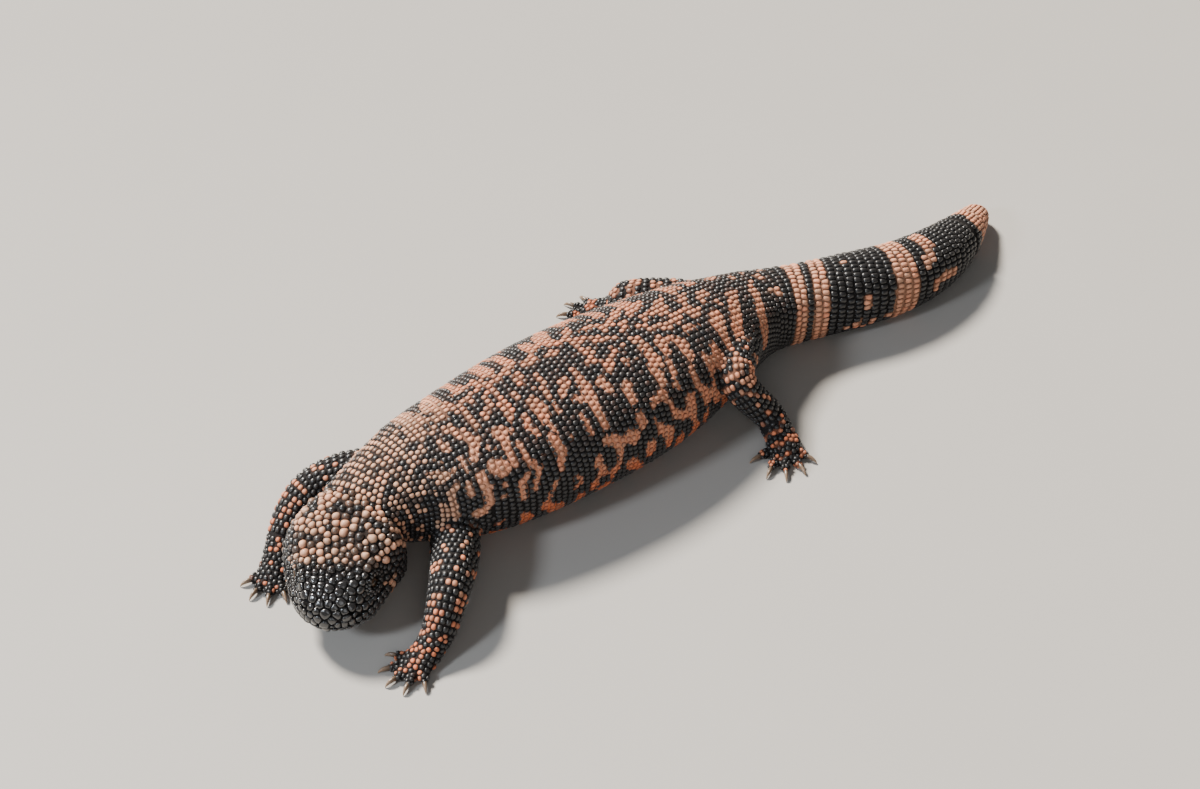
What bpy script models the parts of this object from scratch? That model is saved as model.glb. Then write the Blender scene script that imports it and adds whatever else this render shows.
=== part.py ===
"""Gila monster, a life-size still model in the solids that a museum maker would carve.

The animal stands on X Y ground at Z = 0 with its head towards -X, turned to its left, and its tail towards +X.
One line runs down the middle of the body from the tip of the snout to the tip of the tail. A point of the hide is
given by two numbers: the distance s along that line from the snout, and the angle round it, which is 0 on the
animal's left side, 90 degrees on its back and 180 degrees on its right side.
All sizes are in millimetres until a mesh is made.
"""

import math

import bmesh
import bpy
import numpy as np

MM = 0.001
GAP = 0.3
# How far a flat face of one lattice may stand off the face of another lattice on the same curved hide
FACET_SAG = 0.35

# Where the middle of the model's box lies in the numbers below. It is taken off every point.
BOX_MIDDLE = (37.92, -7.01)

# Each station down the body: x, y and z of the line, half width, rise above the line, drop below it
STATIONS = {
    "snout": (-190, -29, 17, 14.0, 11.0, 7.0),
    "muzzle": (-182, -23, 19, 18.0, 13.0, 9.0),
    "brow": (-169, -12, 23, 25.0, 16.0, 11.5),
    "jowl": (-158, -3, 26, 27.5, 17.5, 13.5),
    "nape": (-146, 4, 28, 23.5, 18.0, 15.5),
    "neck": (-133, 7, 29, 24.0, 19.5, 18.0),
    "shoulder": (-112, 7, 28, 32.0, 25.0, 22.5),
    "chest": (-86, 3, 27, 39.0, 29.5, 26.0),
    "midriff": (-38, -2, 27, 44.5, 32.5, 28.0),
    "loin": (20, -6, 26, 42.5, 31.0, 27.0),
    "hip": (72, -6, 24, 31.0, 25.5, 23.5),
    "vent": (100, -7, 21, 24.0, 20.5, 20.0),
    "tail_root": (122, -13, 19, 20.5, 18.5, 19.5),
    "tail_fat": (155, -26, 18, 19.5, 18.5, 19.0),
    "tail_mid": (188, -35, 16, 18.5, 17.5, 17.0),
    "tail_end": (224, -35, 13, 15.5, 15.0, 13.8),
    "tail_tip": (276, -20, 6, 6.0, 6.0, 6.6),
}
SNOUT_ROUND = 13.0
TAIL_ROUND = 9.0
BACK_SQUARE = 2.2
BELLY_SQUARE = 2.7

# Where the body is parted, as distances from the snout
HEAD_END = 57.0
NECK_END = 82.0
TORSO_END = 306.0
TAIL_PARTING = 396.0

# Beads: how far a bead stands out of the hide in each part
HEAD_BEAD = 1.0
BODY_BEAD = 0.9
TAIL_BEAD = 0.8
LEG_BEAD = 0.7
# The beads die out down the flanks between these sines of the angle round the body
BELLY_EDGE = (-0.6, 0.0)

EYE_RADIUS = 3.0
EYE_OUT = 0.7
EYE_AT = (21.0, math.radians(33))
LID_RADIUS = 3.3
LID_WIRE = 1.2
LID_HEIGHT = 0.66
LID_STRETCH = np.array([[1.15], [0.92], [1.0]])
NOSTRIL_AT = (5.0, math.radians(40))
NOSTRIL_SIZE = (1.5, 1.2, 1.9)
EAR_AT = (49.5, math.radians(2))
EAR_SIZE = (1.9, 4.4, 3.0)

# Each leg: knots of its middle line as x, y, z and radius, from inside the body to the wrist or ankle
LEGS = {
    "fore_left": ((-104, -12, 21, 12.5), (-118, -31, 18, 11.5), (-137, -50, 18, 9.6), (-152, -60, 8.3, 7.6)),
    "fore_right": ((-108, 12, 27, 13.5), (-126, 31, 25, 12.5), (-150, 41, 20, 10.0), (-171, 34, 8.5, 7.6)),
    "hind_left": ((84, -12, 25, 14.5), (69, -28, 29, 12.5), (50, -45, 32, 9.6), (61, -61, 9.5, 7.8)),
    "hind_right": ((84, 4, 25, 14.5), (72, 19, 28, 12.5), (55, 37, 29, 9.6), (65, 51, 9.5, 7.8)),
}
# Sections near a knee or elbow share its bend over this distance each way, so that they do not cross
BEND_SPREAD = 5.0
# What is trimmed off each side of an elbow or knee, so that its two flats are true
TRIM = 0.05
# Each foot: the heading of its middle toe in degrees, and the middle of its palm
FEET = {
    "fore_left": (180, (-163, -62)),
    "fore_right": (224, (-181, 26)),
    "hind_left": (228, (56, -75)),
    "hind_right": (140, (56, 62)),
}
# Toes from the inner to the outer one: turn from the middle toe in degrees, and length of the fleshy part
FORE_TOES = ((-58, 6.5), (-27, 8.5), (0, 9.5), (26, 9.0), (56, 6.5))
HIND_TOES = ((-56, 7.0), (-27, 9.5), (0, 11.5), (24, 11.5), (58, 8.0))
PALM = {"fore": (9.0, 8.0, 5.0), "hind": (10.5, 9.0, 5.4)}
TOE_RADII = (2.7, 2.7, 2.0)
TOE_HEIGHTS = (2.5, 2.4, 1.75)
CLAW_LENGTH = {"fore": 5.2, "hind": 5.8}
CLAW_RADII = (1.3, 0.9, 0.2)

ROW_STEP = {"head": 2.8, "neck": 3.4, "torso": 4.4, "tail": 4.4}
AROUND = {"head": 45, "neck": 45, "torso": 45, "tail": 24}

HIDE_BLACK = (0.018, 0.016, 0.017, 1.0)
HIDE_PINK = (0.62, 0.27, 0.16, 1.0)
HIDE_MIX = (0.22, 0.11, 0.075, 1.0)
EYE_BROWN = (0.012, 0.008, 0.006, 1.0)


def clear_scene():
    for old in list(bpy.data.objects):
        bpy.data.objects.remove(old, do_unlink=True)


def material(name, colour, roughness):
    """A plain finish with a name of its own."""
    made = bpy.data.materials.new(name)
    made.use_nodes = True
    shader = made.node_tree.nodes["Principled BSDF"]
    shader.inputs["Base Color"].default_value = colour
    shader.inputs["Roughness"].default_value = roughness
    shader.inputs["Metallic"].default_value = 0.0
    return made


def spline(knots, values, at):
    """Natural cubic spline through values at knots, read at the places in at."""
    k, v, at = np.asarray(knots, float), np.asarray(values, float), np.atleast_1d(np.asarray(at, float))
    h = np.diff(k)
    matrix, right = np.eye(len(k)), np.zeros_like(v)
    for i in range(1, len(k) - 1):
        matrix[i, i - 1 : i + 2] = h[i - 1], 2 * (h[i - 1] + h[i]), h[i]
        right[i] = 6 * ((v[i + 1] - v[i]) / h[i] - (v[i] - v[i - 1]) / h[i - 1])
    bend = np.linalg.solve(matrix, right)
    i = np.clip(np.searchsorted(k, at) - 1, 0, len(k) - 2)
    a, b, width = (at - k[i])[:, None], (k[i + 1] - at)[:, None], h[i][:, None]
    curve = (bend[i] * b**3 + bend[i + 1] * a**3) / (6 * width)
    return curve + (v[i] / width - bend[i] * width / 6) * b + (v[i + 1] / width - bend[i + 1] * width / 6) * a


TABLE = np.array(list(STATIONS.values()), float)
ARC = np.r_[0, np.cumsum(np.linalg.norm(np.diff(TABLE[:, :3], axis=0), axis=1))]
LENGTH = ARC[-1]


def rounded_end(distance, reach):
    """Share of the full radius at a distance from a round end: a quarter circle."""
    share = np.clip(distance / reach, 0, 1)
    return np.sqrt(1 - (1 - share) ** 2)


def section(s):
    """Middle, sideways and upward directions, and the three radii of the body's section at s."""
    step = 0.5
    middle = spline(ARC, TABLE[:, :3], s)
    along = spline(ARC, TABLE[:, :3], np.minimum(s + step, LENGTH)) - spline(ARC, TABLE[:, :3], np.maximum(s - step, 0))
    along /= np.linalg.norm(along, axis=1)[:, None]
    side = np.cross(along, (0.0, 0.0, 1.0))
    side /= np.linalg.norm(side, axis=1)[:, None]
    closing = rounded_end(s, SNOUT_ROUND) * rounded_end(LENGTH - s, TAIL_ROUND)
    return middle, side, np.cross(side, along), spline(ARC, TABLE[:, 3:], s) * closing[:, None], closing


def near(value, middle, spread):
    """A smooth hump, 1 at the middle and falling off over the spread."""
    return np.exp(-(((value - middle) / spread) ** 2))


def ramp(value, start, end):
    """0 before start, 1 after end, smooth between them."""
    share = np.clip((value - start) / (end - start), 0, 1)
    return share * share * (3 - 2 * share)


def lift_angle(theta):
    """Angle above the horizontal on whichever side the point lies, from -90 to 90 degrees."""
    return np.degrees(np.arcsin(np.clip(np.sin(theta), -1, 1)))


def relief(s, theta):
    """How far the flesh stands out of the plain sections: jaw muscles, brows, lips, glands and folds."""
    lift = lift_angle(theta)
    lips = 1 - ramp(s, 36, 42)
    out = 2.2 * near(s, 42, 9) * near(lift, 50, 24)
    out -= 1.1 * near(s, 38, 13) * near(lift, 90, 12)
    out += 1.5 * near(s, 21, 6) * near(lift, 54, 11)
    out -= 1.2 * near(s, 21.5, 5) * near(lift, 28, 12)
    out -= 1.0 * near(s, 12.5, 4.5) * near(lift, 36, 12)
    out += 0.8 * near(s, 5, 3) * near(lift, 40, 15)
    out += 0.8 * lips * near(lift, 10, 6) + 0.7 * lips * near(lift, -11, 6)
    out -= 1.7 * lips * near(lift, 0, 3)
    out += 2.3 * near(s, 33, 11) * near(lift, -27, 15)
    out -= 1.3 * near(s, 58, 2.6) * ramp(lift, -80, -10)
    out -= 1.6 * near(s, 66, 2.6) * (1 - ramp(lift, -20, 25))
    return out


def hide(s, theta, grow=0.0):
    """Points of the hide: a superellipse on each section, fuller below, plus the relief, pressed flat on the floor."""
    s, theta = np.broadcast_arrays(np.atleast_1d(np.asarray(s, float)), np.asarray(theta, float))
    middle, side, up, radii, closing = section(s)
    cosine, sine = np.cos(theta), np.sin(theta)
    square = np.where(sine >= 0, BACK_SQUARE, BELLY_SQUARE)
    tall = np.where(sine >= 0, radii[:, 1], radii[:, 2])
    across = radii[:, 0] * np.sign(cosine) * np.abs(cosine) ** (2 / square)
    rise = tall * np.sign(sine) * np.abs(sine) ** (2 / square)
    size = np.maximum(np.hypot(across, rise), 1e-6)
    swell = 1 + (relief(s, theta) * closing + grow) / size
    point = middle + side * (across * swell)[:, None] + up * (rise * swell)[:, None]
    point[:, 2] = np.maximum(point[:, 2], -grow)
    return point


def outward(s, theta):
    """Unit direction out of the hide."""
    step_s, step_t = 0.3, 0.02
    along = hide(s + step_s, theta) - hide(s - step_s, theta)
    around = hide(s, theta + step_t) - hide(s, theta - step_t)
    normal = np.cross(along, around)
    return normal / np.linalg.norm(normal, axis=1)[:, None]


def mesh_object(name, points, faces):
    """A named object from points in millimetres and faces, moved so that the box's middle is the origin."""
    points = np.asarray(points, float) - np.array([*BOX_MIDDLE, 0.0])
    mesh = bpy.data.meshes.new(name)
    mesh.from_pydata((points * MM).tolist(), [], faces)
    mesh.validate()
    made = bpy.data.objects.new(name, mesh)
    bpy.context.scene.collection.objects.link(made)
    return made


def tube_faces(rows, around, staggered):
    """Triangles of a closed tube of rings, with a point at each end that closes it. Odd rings are turned half a step."""
    faces = []
    first, last = rows * around, rows * around + 1
    for j in range(around):
        after = (j + 1) % around
        faces.append((first, j, after))
        low = (rows - 1) * around
        faces.append((last, low + after, low + j))
    for i in range(rows - 1):
        for j in range(around):
            after = (j + 1) % around
            a, b = i * around + j, i * around + after
            c, d = (i + 1) * around + j, (i + 1) * around + after
            if staggered and i % 2:
                faces += [(a, d, b), (a, c, d)]
            else:
                faces += [(a, c, b), (b, c, d)]
    return faces


def bead_centres(rows, around):
    """Marks the middle point of each six-sided bead on a lattice of staggered rings."""
    i, j = np.meshgrid(np.arange(rows), np.arange(around), indexing="ij")
    return ((j - (i - i % 2) // 2 - i) % 3 == 0).astype(float)


def even_rows(start, end, step):
    return np.linspace(start, end, int(round((end - start) / step)) + 1)


def staggered_grid(rows, around):
    """s and angle of each lattice point, from the middle of the belly round. Odd rings lie half a step on."""
    i, j = np.meshgrid(np.arange(len(rows)), np.arange(around), indexing="ij")
    theta = -math.pi / 2 + 2 * math.pi * (j + 0.5 * (i % 2)) / around
    return np.repeat(rows, around), theta.ravel()


def root_clearance(points):
    """0 where a leg grows out of the body or lies against it, and 1 away from it."""
    clear = np.ones(len(points))
    for knots in LEGS.values():
        for start, end in zip(knots[:-1], knots[1:]):
            a, b = np.array(start[:3], float), np.array(end[:3], float)
            share = np.clip((points - a) @ (b - a) / ((b - a) @ (b - a)), 0, 1)
            distance = np.linalg.norm(points - a - share[:, None] * (b - a), axis=1)
            clear *= ramp(distance, start[3] + 1.0, start[3] + 5.0)
    return clear


def body_node(name, rows, around, bead, beaded=None):
    """A length of the body as one closed beaded solid with flat ends."""
    s, theta = staggered_grid(rows, around)
    points = hide(s, theta)
    height = bead * bead_centres(len(rows), around).ravel() * root_clearance(points)
    height *= ramp(np.sin(theta), *BELLY_EDGE)
    if beaded is not None:
        height *= beaded(s, theta)
    height[:around] = 0
    height[-around:] = 0
    points += outward(s, theta) * height[:, None]
    ends = [spline(ARC, TABLE[:, :3], rows[0])[0], spline(ARC, TABLE[:, :3], rows[-1])[0]]
    return mesh_object(name, np.vstack([points, ends]), tube_faces(len(rows), around, True))


def crown_beads(s, theta):
    """Beads cover the crown and the sides behind the eye. The muzzle, lips and eyelids have none this large."""
    lift = lift_angle(theta)
    away = np.hypot(s - EYE_AT[0], (lift - math.degrees(EYE_AT[1])) * 0.4)
    crown = ramp(s, 12, 17) * ramp(lift, 14, 20) * ramp(away, 5, 7)
    cheek = ramp(s, 42, 46) * ramp(lift, -30, -15) * (1 - ramp(lift, 14, 20))
    return crown + cheek


def apply_booleans(target):
    """Turns the object's evaluated shape into its mesh."""
    bpy.context.view_layer.update()
    graph = bpy.context.evaluated_depsgraph_get()
    shaped = bpy.data.meshes.new_from_object(target.evaluated_get(graph))
    target.modifiers.clear()
    target.data = shaped


def join_pieces(target, pieces, operation="UNION"):
    """One Boolean of the target with a collection of closed pieces, which are then removed."""
    group = bpy.data.collections.new(target.name + "_pieces")
    bpy.context.scene.collection.children.link(group)
    for piece in pieces:
        bpy.context.scene.collection.objects.unlink(piece)
        group.objects.link(piece)
    modifier = target.modifiers.new("join", "BOOLEAN")
    modifier.operation = operation
    modifier.operand_type = "COLLECTION"
    modifier.collection = group
    modifier.solver = "EXACT"
    apply_booleans(target)
    for piece in pieces:
        bpy.data.objects.remove(piece, do_unlink=True)
    bpy.data.collections.remove(group)
    keep_largest(target)


def keep_largest(target):
    """Keeps the closed surface that holds the most, and drops sealed hollows and scraps."""
    shape = bmesh.new()
    shape.from_mesh(target.data)
    bmesh.ops.triangulate(shape, faces=shape.faces)
    left, groups = set(shape.faces), []
    while left:
        stack, found = [left.pop()], []
        while stack:
            face = stack.pop()
            found.append(face)
            for edge in face.edges:
                for other in edge.link_faces:
                    if other in left:
                        left.remove(other)
                        stack.append(other)
        groups.append(found)
    volumes = [sum(f.verts[0].co.dot(f.verts[1].co.cross(f.verts[2].co)) for f in g) for g in groups]
    largest = volumes.index(max(volumes))
    scraps = [f for i, g in enumerate(groups) if i != largest for f in g]
    bmesh.ops.delete(shape, geom=scraps, context="FACES")
    loose = [v for v in shape.verts if not v.link_faces]
    bmesh.ops.delete(shape, geom=loose, context="VERTS")
    shape.to_mesh(target.data)
    shape.free()


def ball(name, centre, radii, axes, around=12, rows=7):
    """An ellipsoid of rings. axes are the three directions that the radii lie along."""
    axes, centre = np.asarray(axes, float), np.asarray(centre, float)
    tilt = np.repeat(np.linspace(0, math.pi, rows + 2)[1:-1], around)
    turn = np.tile(np.arange(around) * 2 * math.pi / around, rows)
    unit = np.stack([np.sin(tilt) * np.cos(turn), np.sin(tilt) * np.sin(turn), np.cos(tilt)], 1)
    unit = np.vstack([unit, [(0, 0, 1), (0, 0, -1)]])
    points = centre + (unit * radii) @ axes
    faces = tube_faces(rows, around, False)
    if np.linalg.det(axes) < 0:
        faces = [f[::-1] for f in faces]
    return mesh_object(name, points, faces)


def ball_axes(pole):
    """Three directions square to each other, the last of them the pole."""
    side = np.cross(pole, (0.0, 0.0, 1.0))
    side /= np.linalg.norm(side)
    return np.array([np.cross(side, pole), -side, pole])


def ring(name, centre, axes, radius, wire, around=14, sides=6):
    """A doughnut in the plane of the first two axes."""
    axes, centre = np.asarray(axes, float), np.asarray(centre, float)
    turn = np.repeat(np.arange(around) * 2 * math.pi / around, sides)
    tilt = np.tile(np.arange(sides) * 2 * math.pi / sides, around)
    reach = radius + wire * np.cos(tilt)
    points = centre + np.stack([reach * np.cos(turn), reach * np.sin(turn), wire * np.sin(tilt)], 1) @ axes
    faces = []
    for i in range(around):
        for j in range(sides):
            a, b = i * sides + j, i * sides + (j + 1) % sides
            c, d = (i + 1) % around * sides + j, (i + 1) % around * sides + (j + 1) % sides
            faces += [(a, c, b), (c, d, b)]
    if np.linalg.det(axes) < 0:
        faces = [f[::-1] for f in faces]
    return mesh_object(name, points, faces)


def head_place(at, right_side):
    """A point of the head, and axes there: along the head, round it, and out of it."""
    s, lift = at
    theta = math.pi - lift if right_side else lift
    point = hide(s, theta)[0]
    out = outward(np.array([s]), np.array([theta]))[0]
    along = spline(ARC, TABLE[:, :3], s + 1)[0] - spline(ARC, TABLE[:, :3], s - 1)[0]
    along -= out * (along @ out)
    along /= np.linalg.norm(along)
    return point, np.array([along, np.cross(out, along), out])


def build_head(finish, eye_finish):
    """The head with its crown of beads, lids, nostrils and ear openings, and the two eyes in their sockets."""
    rows = np.r_[0.12, 1.0, 2.6, 4.7, 7.1, 9.7, even_rows(12.3, HEAD_END - GAP / 2, ROW_STEP["head"])]
    head = body_node("head", rows, AROUND["head"], HEAD_BEAD, beaded=crown_beads)
    lids, cutters, eyes = [], [], []
    for word, right_side in (("left", False), ("right", True)):
        point, axes = head_place(EYE_AT, right_side)
        centre = point + axes[2] * (EYE_OUT - EYE_RADIUS)
        rim = centre + axes[2] * (EYE_RADIUS * LID_HEIGHT)
        lids.append(ring("lid_" + word, rim, axes * LID_STRETCH, LID_RADIUS, LID_WIRE))
        socket = EYE_RADIUS + GAP
        cutters.append(ball("socket_" + word, centre, (socket,) * 3, axes, 12, 9))
        eyes.append(ball("eye_" + word, centre, (EYE_RADIUS,) * 3, axes, 12, 7))
        point, axes = head_place(NOSTRIL_AT, right_side)
        cutters.append(ball("nostril_" + word, point, NOSTRIL_SIZE, axes, 8, 5))
        point, axes = head_place(EAR_AT, right_side)
        cutters.append(ball("ear_" + word, point, EAR_SIZE, axes, 10, 5))
    join_pieces(head, lids)
    join_pieces(head, cutters, "DIFFERENCE")
    head.data.materials.append(finish)
    for eye in eyes:
        eye.data.materials.append(eye_finish)


def leg_sections(knots, s):
    """Middle and radius, direction, sideways and upward directions of a leg's sections at the distances s."""
    table = np.array(knots, float)
    arc = leg_arc(knots)
    places = spline(arc, table, s)
    ahead, behind = np.minimum(s + BEND_SPREAD, arc[-1]), np.maximum(s - BEND_SPREAD, 0)
    along = spline(arc, table[:, :3], ahead) - spline(arc, table[:, :3], behind)
    along /= np.linalg.norm(along, axis=1)[:, None]
    side = np.cross(along, (0.0, 0.0, 1.0))
    side /= np.linalg.norm(side, axis=1)[:, None]
    return places, along, side, np.cross(side, along)


def leg_arc(knots):
    """Distance of each knot of a leg from its root."""
    table = np.array(knots, float)
    return np.r_[0, np.cumsum(np.linalg.norm(np.diff(table[:, :3], axis=0), axis=1))]


def leg_node(name, knots, start, end, rows, around, bead, finish):
    """A length of a leg between two distances from its root, as one closed solid with flat ends."""
    places, _, side, up = leg_sections(knots, np.linspace(start, end, rows))
    marks = bead_centres(rows, around)
    marks[0] = marks[-1] = 0
    turn = (np.arange(around) + 0.5 * (np.arange(rows)[:, None] % 2)) * 2 * math.pi / around
    reach = places[:, 3:] + bead * marks
    points = places[:, None, :3] + (reach * np.cos(turn))[..., None] * side[:, None]
    points = (points + (reach * np.sin(turn))[..., None] * up[:, None]).reshape(-1, 3)
    points[:, 2] = np.maximum(points[:, 2], 0)
    made = mesh_object(name, np.vstack([points, places[[0, -1], :3]]), tube_faces(rows, around, True))
    made.data.materials.append(finish)
    return made


def body_cutter(name):
    """The plain body without beads, one gap larger, that shapes the root of each leg."""
    rows = even_rows(HEAD_END, TORSO_END + 12, ROW_STEP["torso"])
    s, theta = staggered_grid(rows, AROUND["torso"])
    points = hide(s, theta, grow=GAP + FACET_SAG)
    ends = [spline(ARC, TABLE[:, :3], rows[0])[0], spline(ARC, TABLE[:, :3], rows[-1])[0]]
    return mesh_object(name, np.vstack([points, ends]), tube_faces(len(rows), AROUND["torso"], True))


def cone_tube(name, line, across, tall, around):
    """A short tube along a few points, with its half width and half height at each of them."""
    line = np.array(line, float)
    along = np.gradient(line, axis=0)
    along /= np.linalg.norm(along, axis=1)[:, None]
    side = np.cross(along, (0.0, 0.0, 1.0))
    side /= np.linalg.norm(side, axis=1)[:, None]
    up = np.cross(side, along)
    turn = np.arange(around) * 2 * math.pi / around
    wheel = np.stack([np.cos(turn), np.sin(turn)], 1)
    points = [line[i] + wheel * (across[i], tall[i]) @ np.array([side[i], up[i]]) for i in range(len(line))]
    tips = [line[0] - along[0] * tall[0] * 0.3, line[-1] + along[-1] * tall[-1] * 0.6]
    return mesh_object(name, np.vstack([*points, tips]), tube_faces(len(line), around, False))


def cut_flat(target, point, outward_normal):
    """Cuts off what lies outside a plane through a point and closes the cut with a flat."""
    shape = bmesh.new()
    shape.from_mesh(target.data)
    place = (np.asarray(point, float) - np.array([*BOX_MIDDLE, 0.0])) * MM
    everything = [*shape.verts, *shape.edges, *shape.faces]
    cut = bmesh.ops.bisect_plane(
        shape, geom=everything, plane_co=place.tolist(), plane_no=list(outward_normal), clear_outer=True
    )
    rim = [e for e in cut["geom_cut"] if isinstance(e, bmesh.types.BMEdge)]
    bmesh.ops.triangle_fill(shape, use_beauty=True, edges=rim)
    bmesh.ops.triangulate(shape, faces=shape.faces)
    bmesh.ops.recalc_face_normals(shape, faces=shape.faces)
    shape.to_mesh(target.data)
    shape.free()


def build_foot(key, finish):
    """A palm with five toes and their claws, fused in one solid that starts a gap past the wrist."""
    heading, (x, y) = FEET[key]
    kind = key.split("_")[0]
    toes = FORE_TOES if kind == "fore" else HIND_TOES
    mirror = -1 if key.endswith("left") else 1
    long, wide, high = PALM[kind]
    ankle = np.array(LEGS[key][-1][:3], float)
    ankle_radius = LEGS[key][-1][3]
    forward = np.array([math.cos(math.radians(heading)), math.sin(math.radians(heading)), 0.0])
    sideways = np.array([-forward[1], forward[0], 0.0])
    palm_middle = np.array([x, y, high * 0.72])
    axes = np.array([forward, sideways, (0, 0, 1)])
    foot = ball("foot_" + key, palm_middle, (long, wide, high), axes, 12, 4)
    # The ankle is a ball, cut flat where it meets the end of the leg, with a cone from it into the palm.
    down = leg_sections(LEGS[key], leg_arc(LEGS[key])[-1:])[1][0]
    heel = ball("heel_" + key, ankle, (ankle_radius,) * 3, ball_axes(down), 10, 5)
    instep = ankle * 0.45 + palm_middle * 0.55
    bridge = cone_tube(
        "bridge",
        (ankle + down * 1.5, instep, palm_middle),
        (ankle_radius * 0.95, wide * 0.9, wide * 0.95),
        (ankle_radius * 0.95, high * 1.25, high * 0.95),
        10,
    )
    join_pieces(heel, [bridge])
    cut_flat(heel, ankle + down * GAP, -down)
    pieces = [heel]
    for n, (turn, length) in enumerate(toes):
        angle = math.radians(heading + mirror * turn)
        aim = np.array([math.cos(angle), math.sin(angle), 0.0])
        root = palm_middle + aim * wide * 0.45
        knuckle = palm_middle + aim * (wide * 0.8 + length * 0.45)
        end = palm_middle + aim * (wide * 0.8 + length)
        root[2], knuckle[2], end[2] = TOE_HEIGHTS
        pieces.append(cone_tube(f"toe_{n}", (root, knuckle, end), TOE_RADII, TOE_RADII, 6))
        claw = CLAW_LENGTH[kind]
        bend = end + aim * claw * 0.6 + np.array([0, 0, 0.5])
        tip = end + aim * claw + np.array([0, 0, -1.3])
        start_claw = end - aim * 1.2 + np.array([0, 0, 0.6])
        pieces.append(cone_tube(f"claw_{n}", (start_claw, bend, tip), CLAW_RADII, CLAW_RADII, 4))
    join_pieces(foot, pieces)
    cut_flat(foot, (0, 0, 0), (0, 0, -1))
    foot.data.materials.append(finish)


def build_leg(key, finish):
    """Upper leg, its root shaped to the body, and lower leg, parted at the elbow or knee."""
    knots = LEGS[key]
    arc = leg_arc(knots)
    upper_word, lower_word = ("upper_arm_", "forearm_") if key.startswith("fore") else ("thigh_", "shank_")
    word = key.split("_")[1]
    upper = leg_node(upper_word + word, knots, 0.0, arc[2] - GAP / 2, 11, 15, LEG_BEAD, finish)
    lower = leg_node(lower_word + word, knots, arc[2] + GAP / 2, arc[3], 7, 15, LEG_BEAD, finish)
    joint, along = (part[0] for part in leg_sections(knots, arc[2:3])[:2])
    cut_flat(upper, joint[:3] - along * (GAP / 2 + TRIM), along)
    cut_flat(lower, joint[:3] + along * (GAP / 2 + TRIM), -along)
    for length in (upper, lower):
        join_pieces(length, [body_cutter("body_cutter")], "DIFFERENCE")


def main():
    clear_scene()
    mixed = material("hide_mottled", HIDE_MIX, 0.45)
    dark = material("hide_black", HIDE_BLACK, 0.35)
    pink = material("hide_banded", HIDE_PINK, 0.45)
    glossy = material("eye", EYE_BROWN, 0.08)
    build_head(mixed, glossy)
    neck = body_node(
        "neck", even_rows(HEAD_END + GAP / 2, NECK_END - GAP / 2, ROW_STEP["neck"]), AROUND["neck"], BODY_BEAD
    )
    torso = body_node(
        "torso", even_rows(NECK_END + GAP / 2, TORSO_END - GAP / 2, ROW_STEP["torso"]), AROUND["torso"], BODY_BEAD
    )
    base = body_node(
        "tail_base", even_rows(TORSO_END + GAP / 2, TAIL_PARTING - GAP / 2, ROW_STEP["tail"]), AROUND["tail"], TAIL_BEAD
    )
    end_rows = np.r_[even_rows(TAIL_PARTING + GAP / 2, LENGTH - 8, ROW_STEP["tail"]), LENGTH - np.array([5, 2.6, 0.8])]
    tip = body_node("tail_tip", end_rows, AROUND["tail"], TAIL_BEAD)
    for node, finish in ((neck, mixed), (torso, mixed), (base, pink), (tip, pink)):
        node.data.materials.append(finish)
    for key in LEGS:
        build_leg(key, mixed)
        build_foot(key, dark)


main()
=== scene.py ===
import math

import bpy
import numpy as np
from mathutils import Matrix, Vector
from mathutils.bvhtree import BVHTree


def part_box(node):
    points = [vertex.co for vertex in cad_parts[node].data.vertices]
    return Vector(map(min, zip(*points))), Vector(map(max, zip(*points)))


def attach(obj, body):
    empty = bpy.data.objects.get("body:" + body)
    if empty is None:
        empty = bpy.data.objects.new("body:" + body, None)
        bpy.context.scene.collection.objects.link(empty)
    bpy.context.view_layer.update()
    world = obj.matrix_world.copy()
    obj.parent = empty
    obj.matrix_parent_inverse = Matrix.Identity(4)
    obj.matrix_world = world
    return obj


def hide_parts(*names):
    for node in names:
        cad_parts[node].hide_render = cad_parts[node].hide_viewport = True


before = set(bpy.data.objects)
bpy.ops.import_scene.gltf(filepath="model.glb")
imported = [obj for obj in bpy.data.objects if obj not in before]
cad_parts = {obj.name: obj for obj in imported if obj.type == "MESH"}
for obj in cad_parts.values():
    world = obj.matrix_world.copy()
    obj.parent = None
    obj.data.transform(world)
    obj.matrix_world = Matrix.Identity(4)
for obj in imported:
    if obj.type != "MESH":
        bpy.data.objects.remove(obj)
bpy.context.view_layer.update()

# The looks of the still gila monster: one hide over its whole body and legs, some nine thousand beads and
# plates set on it, two eyes and twenty claws. The hide lies half a millimetre inside the solids and the
# beads fill that depth. Sizes are in millimetres, in the numbers that the solids were drawn in, until a
# mesh is made. A point of the body is given by the distance s along its middle line from the snout and the
# angle round it: 0 on the animal's left side, 90 degrees on its back and 180 degrees on its right side.

MM = 0.001
# The frame's origin in the solids' numbers: the middle of their box on the floor
ORIGIN = np.array([37.92, -7.01, 0.0])

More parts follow.
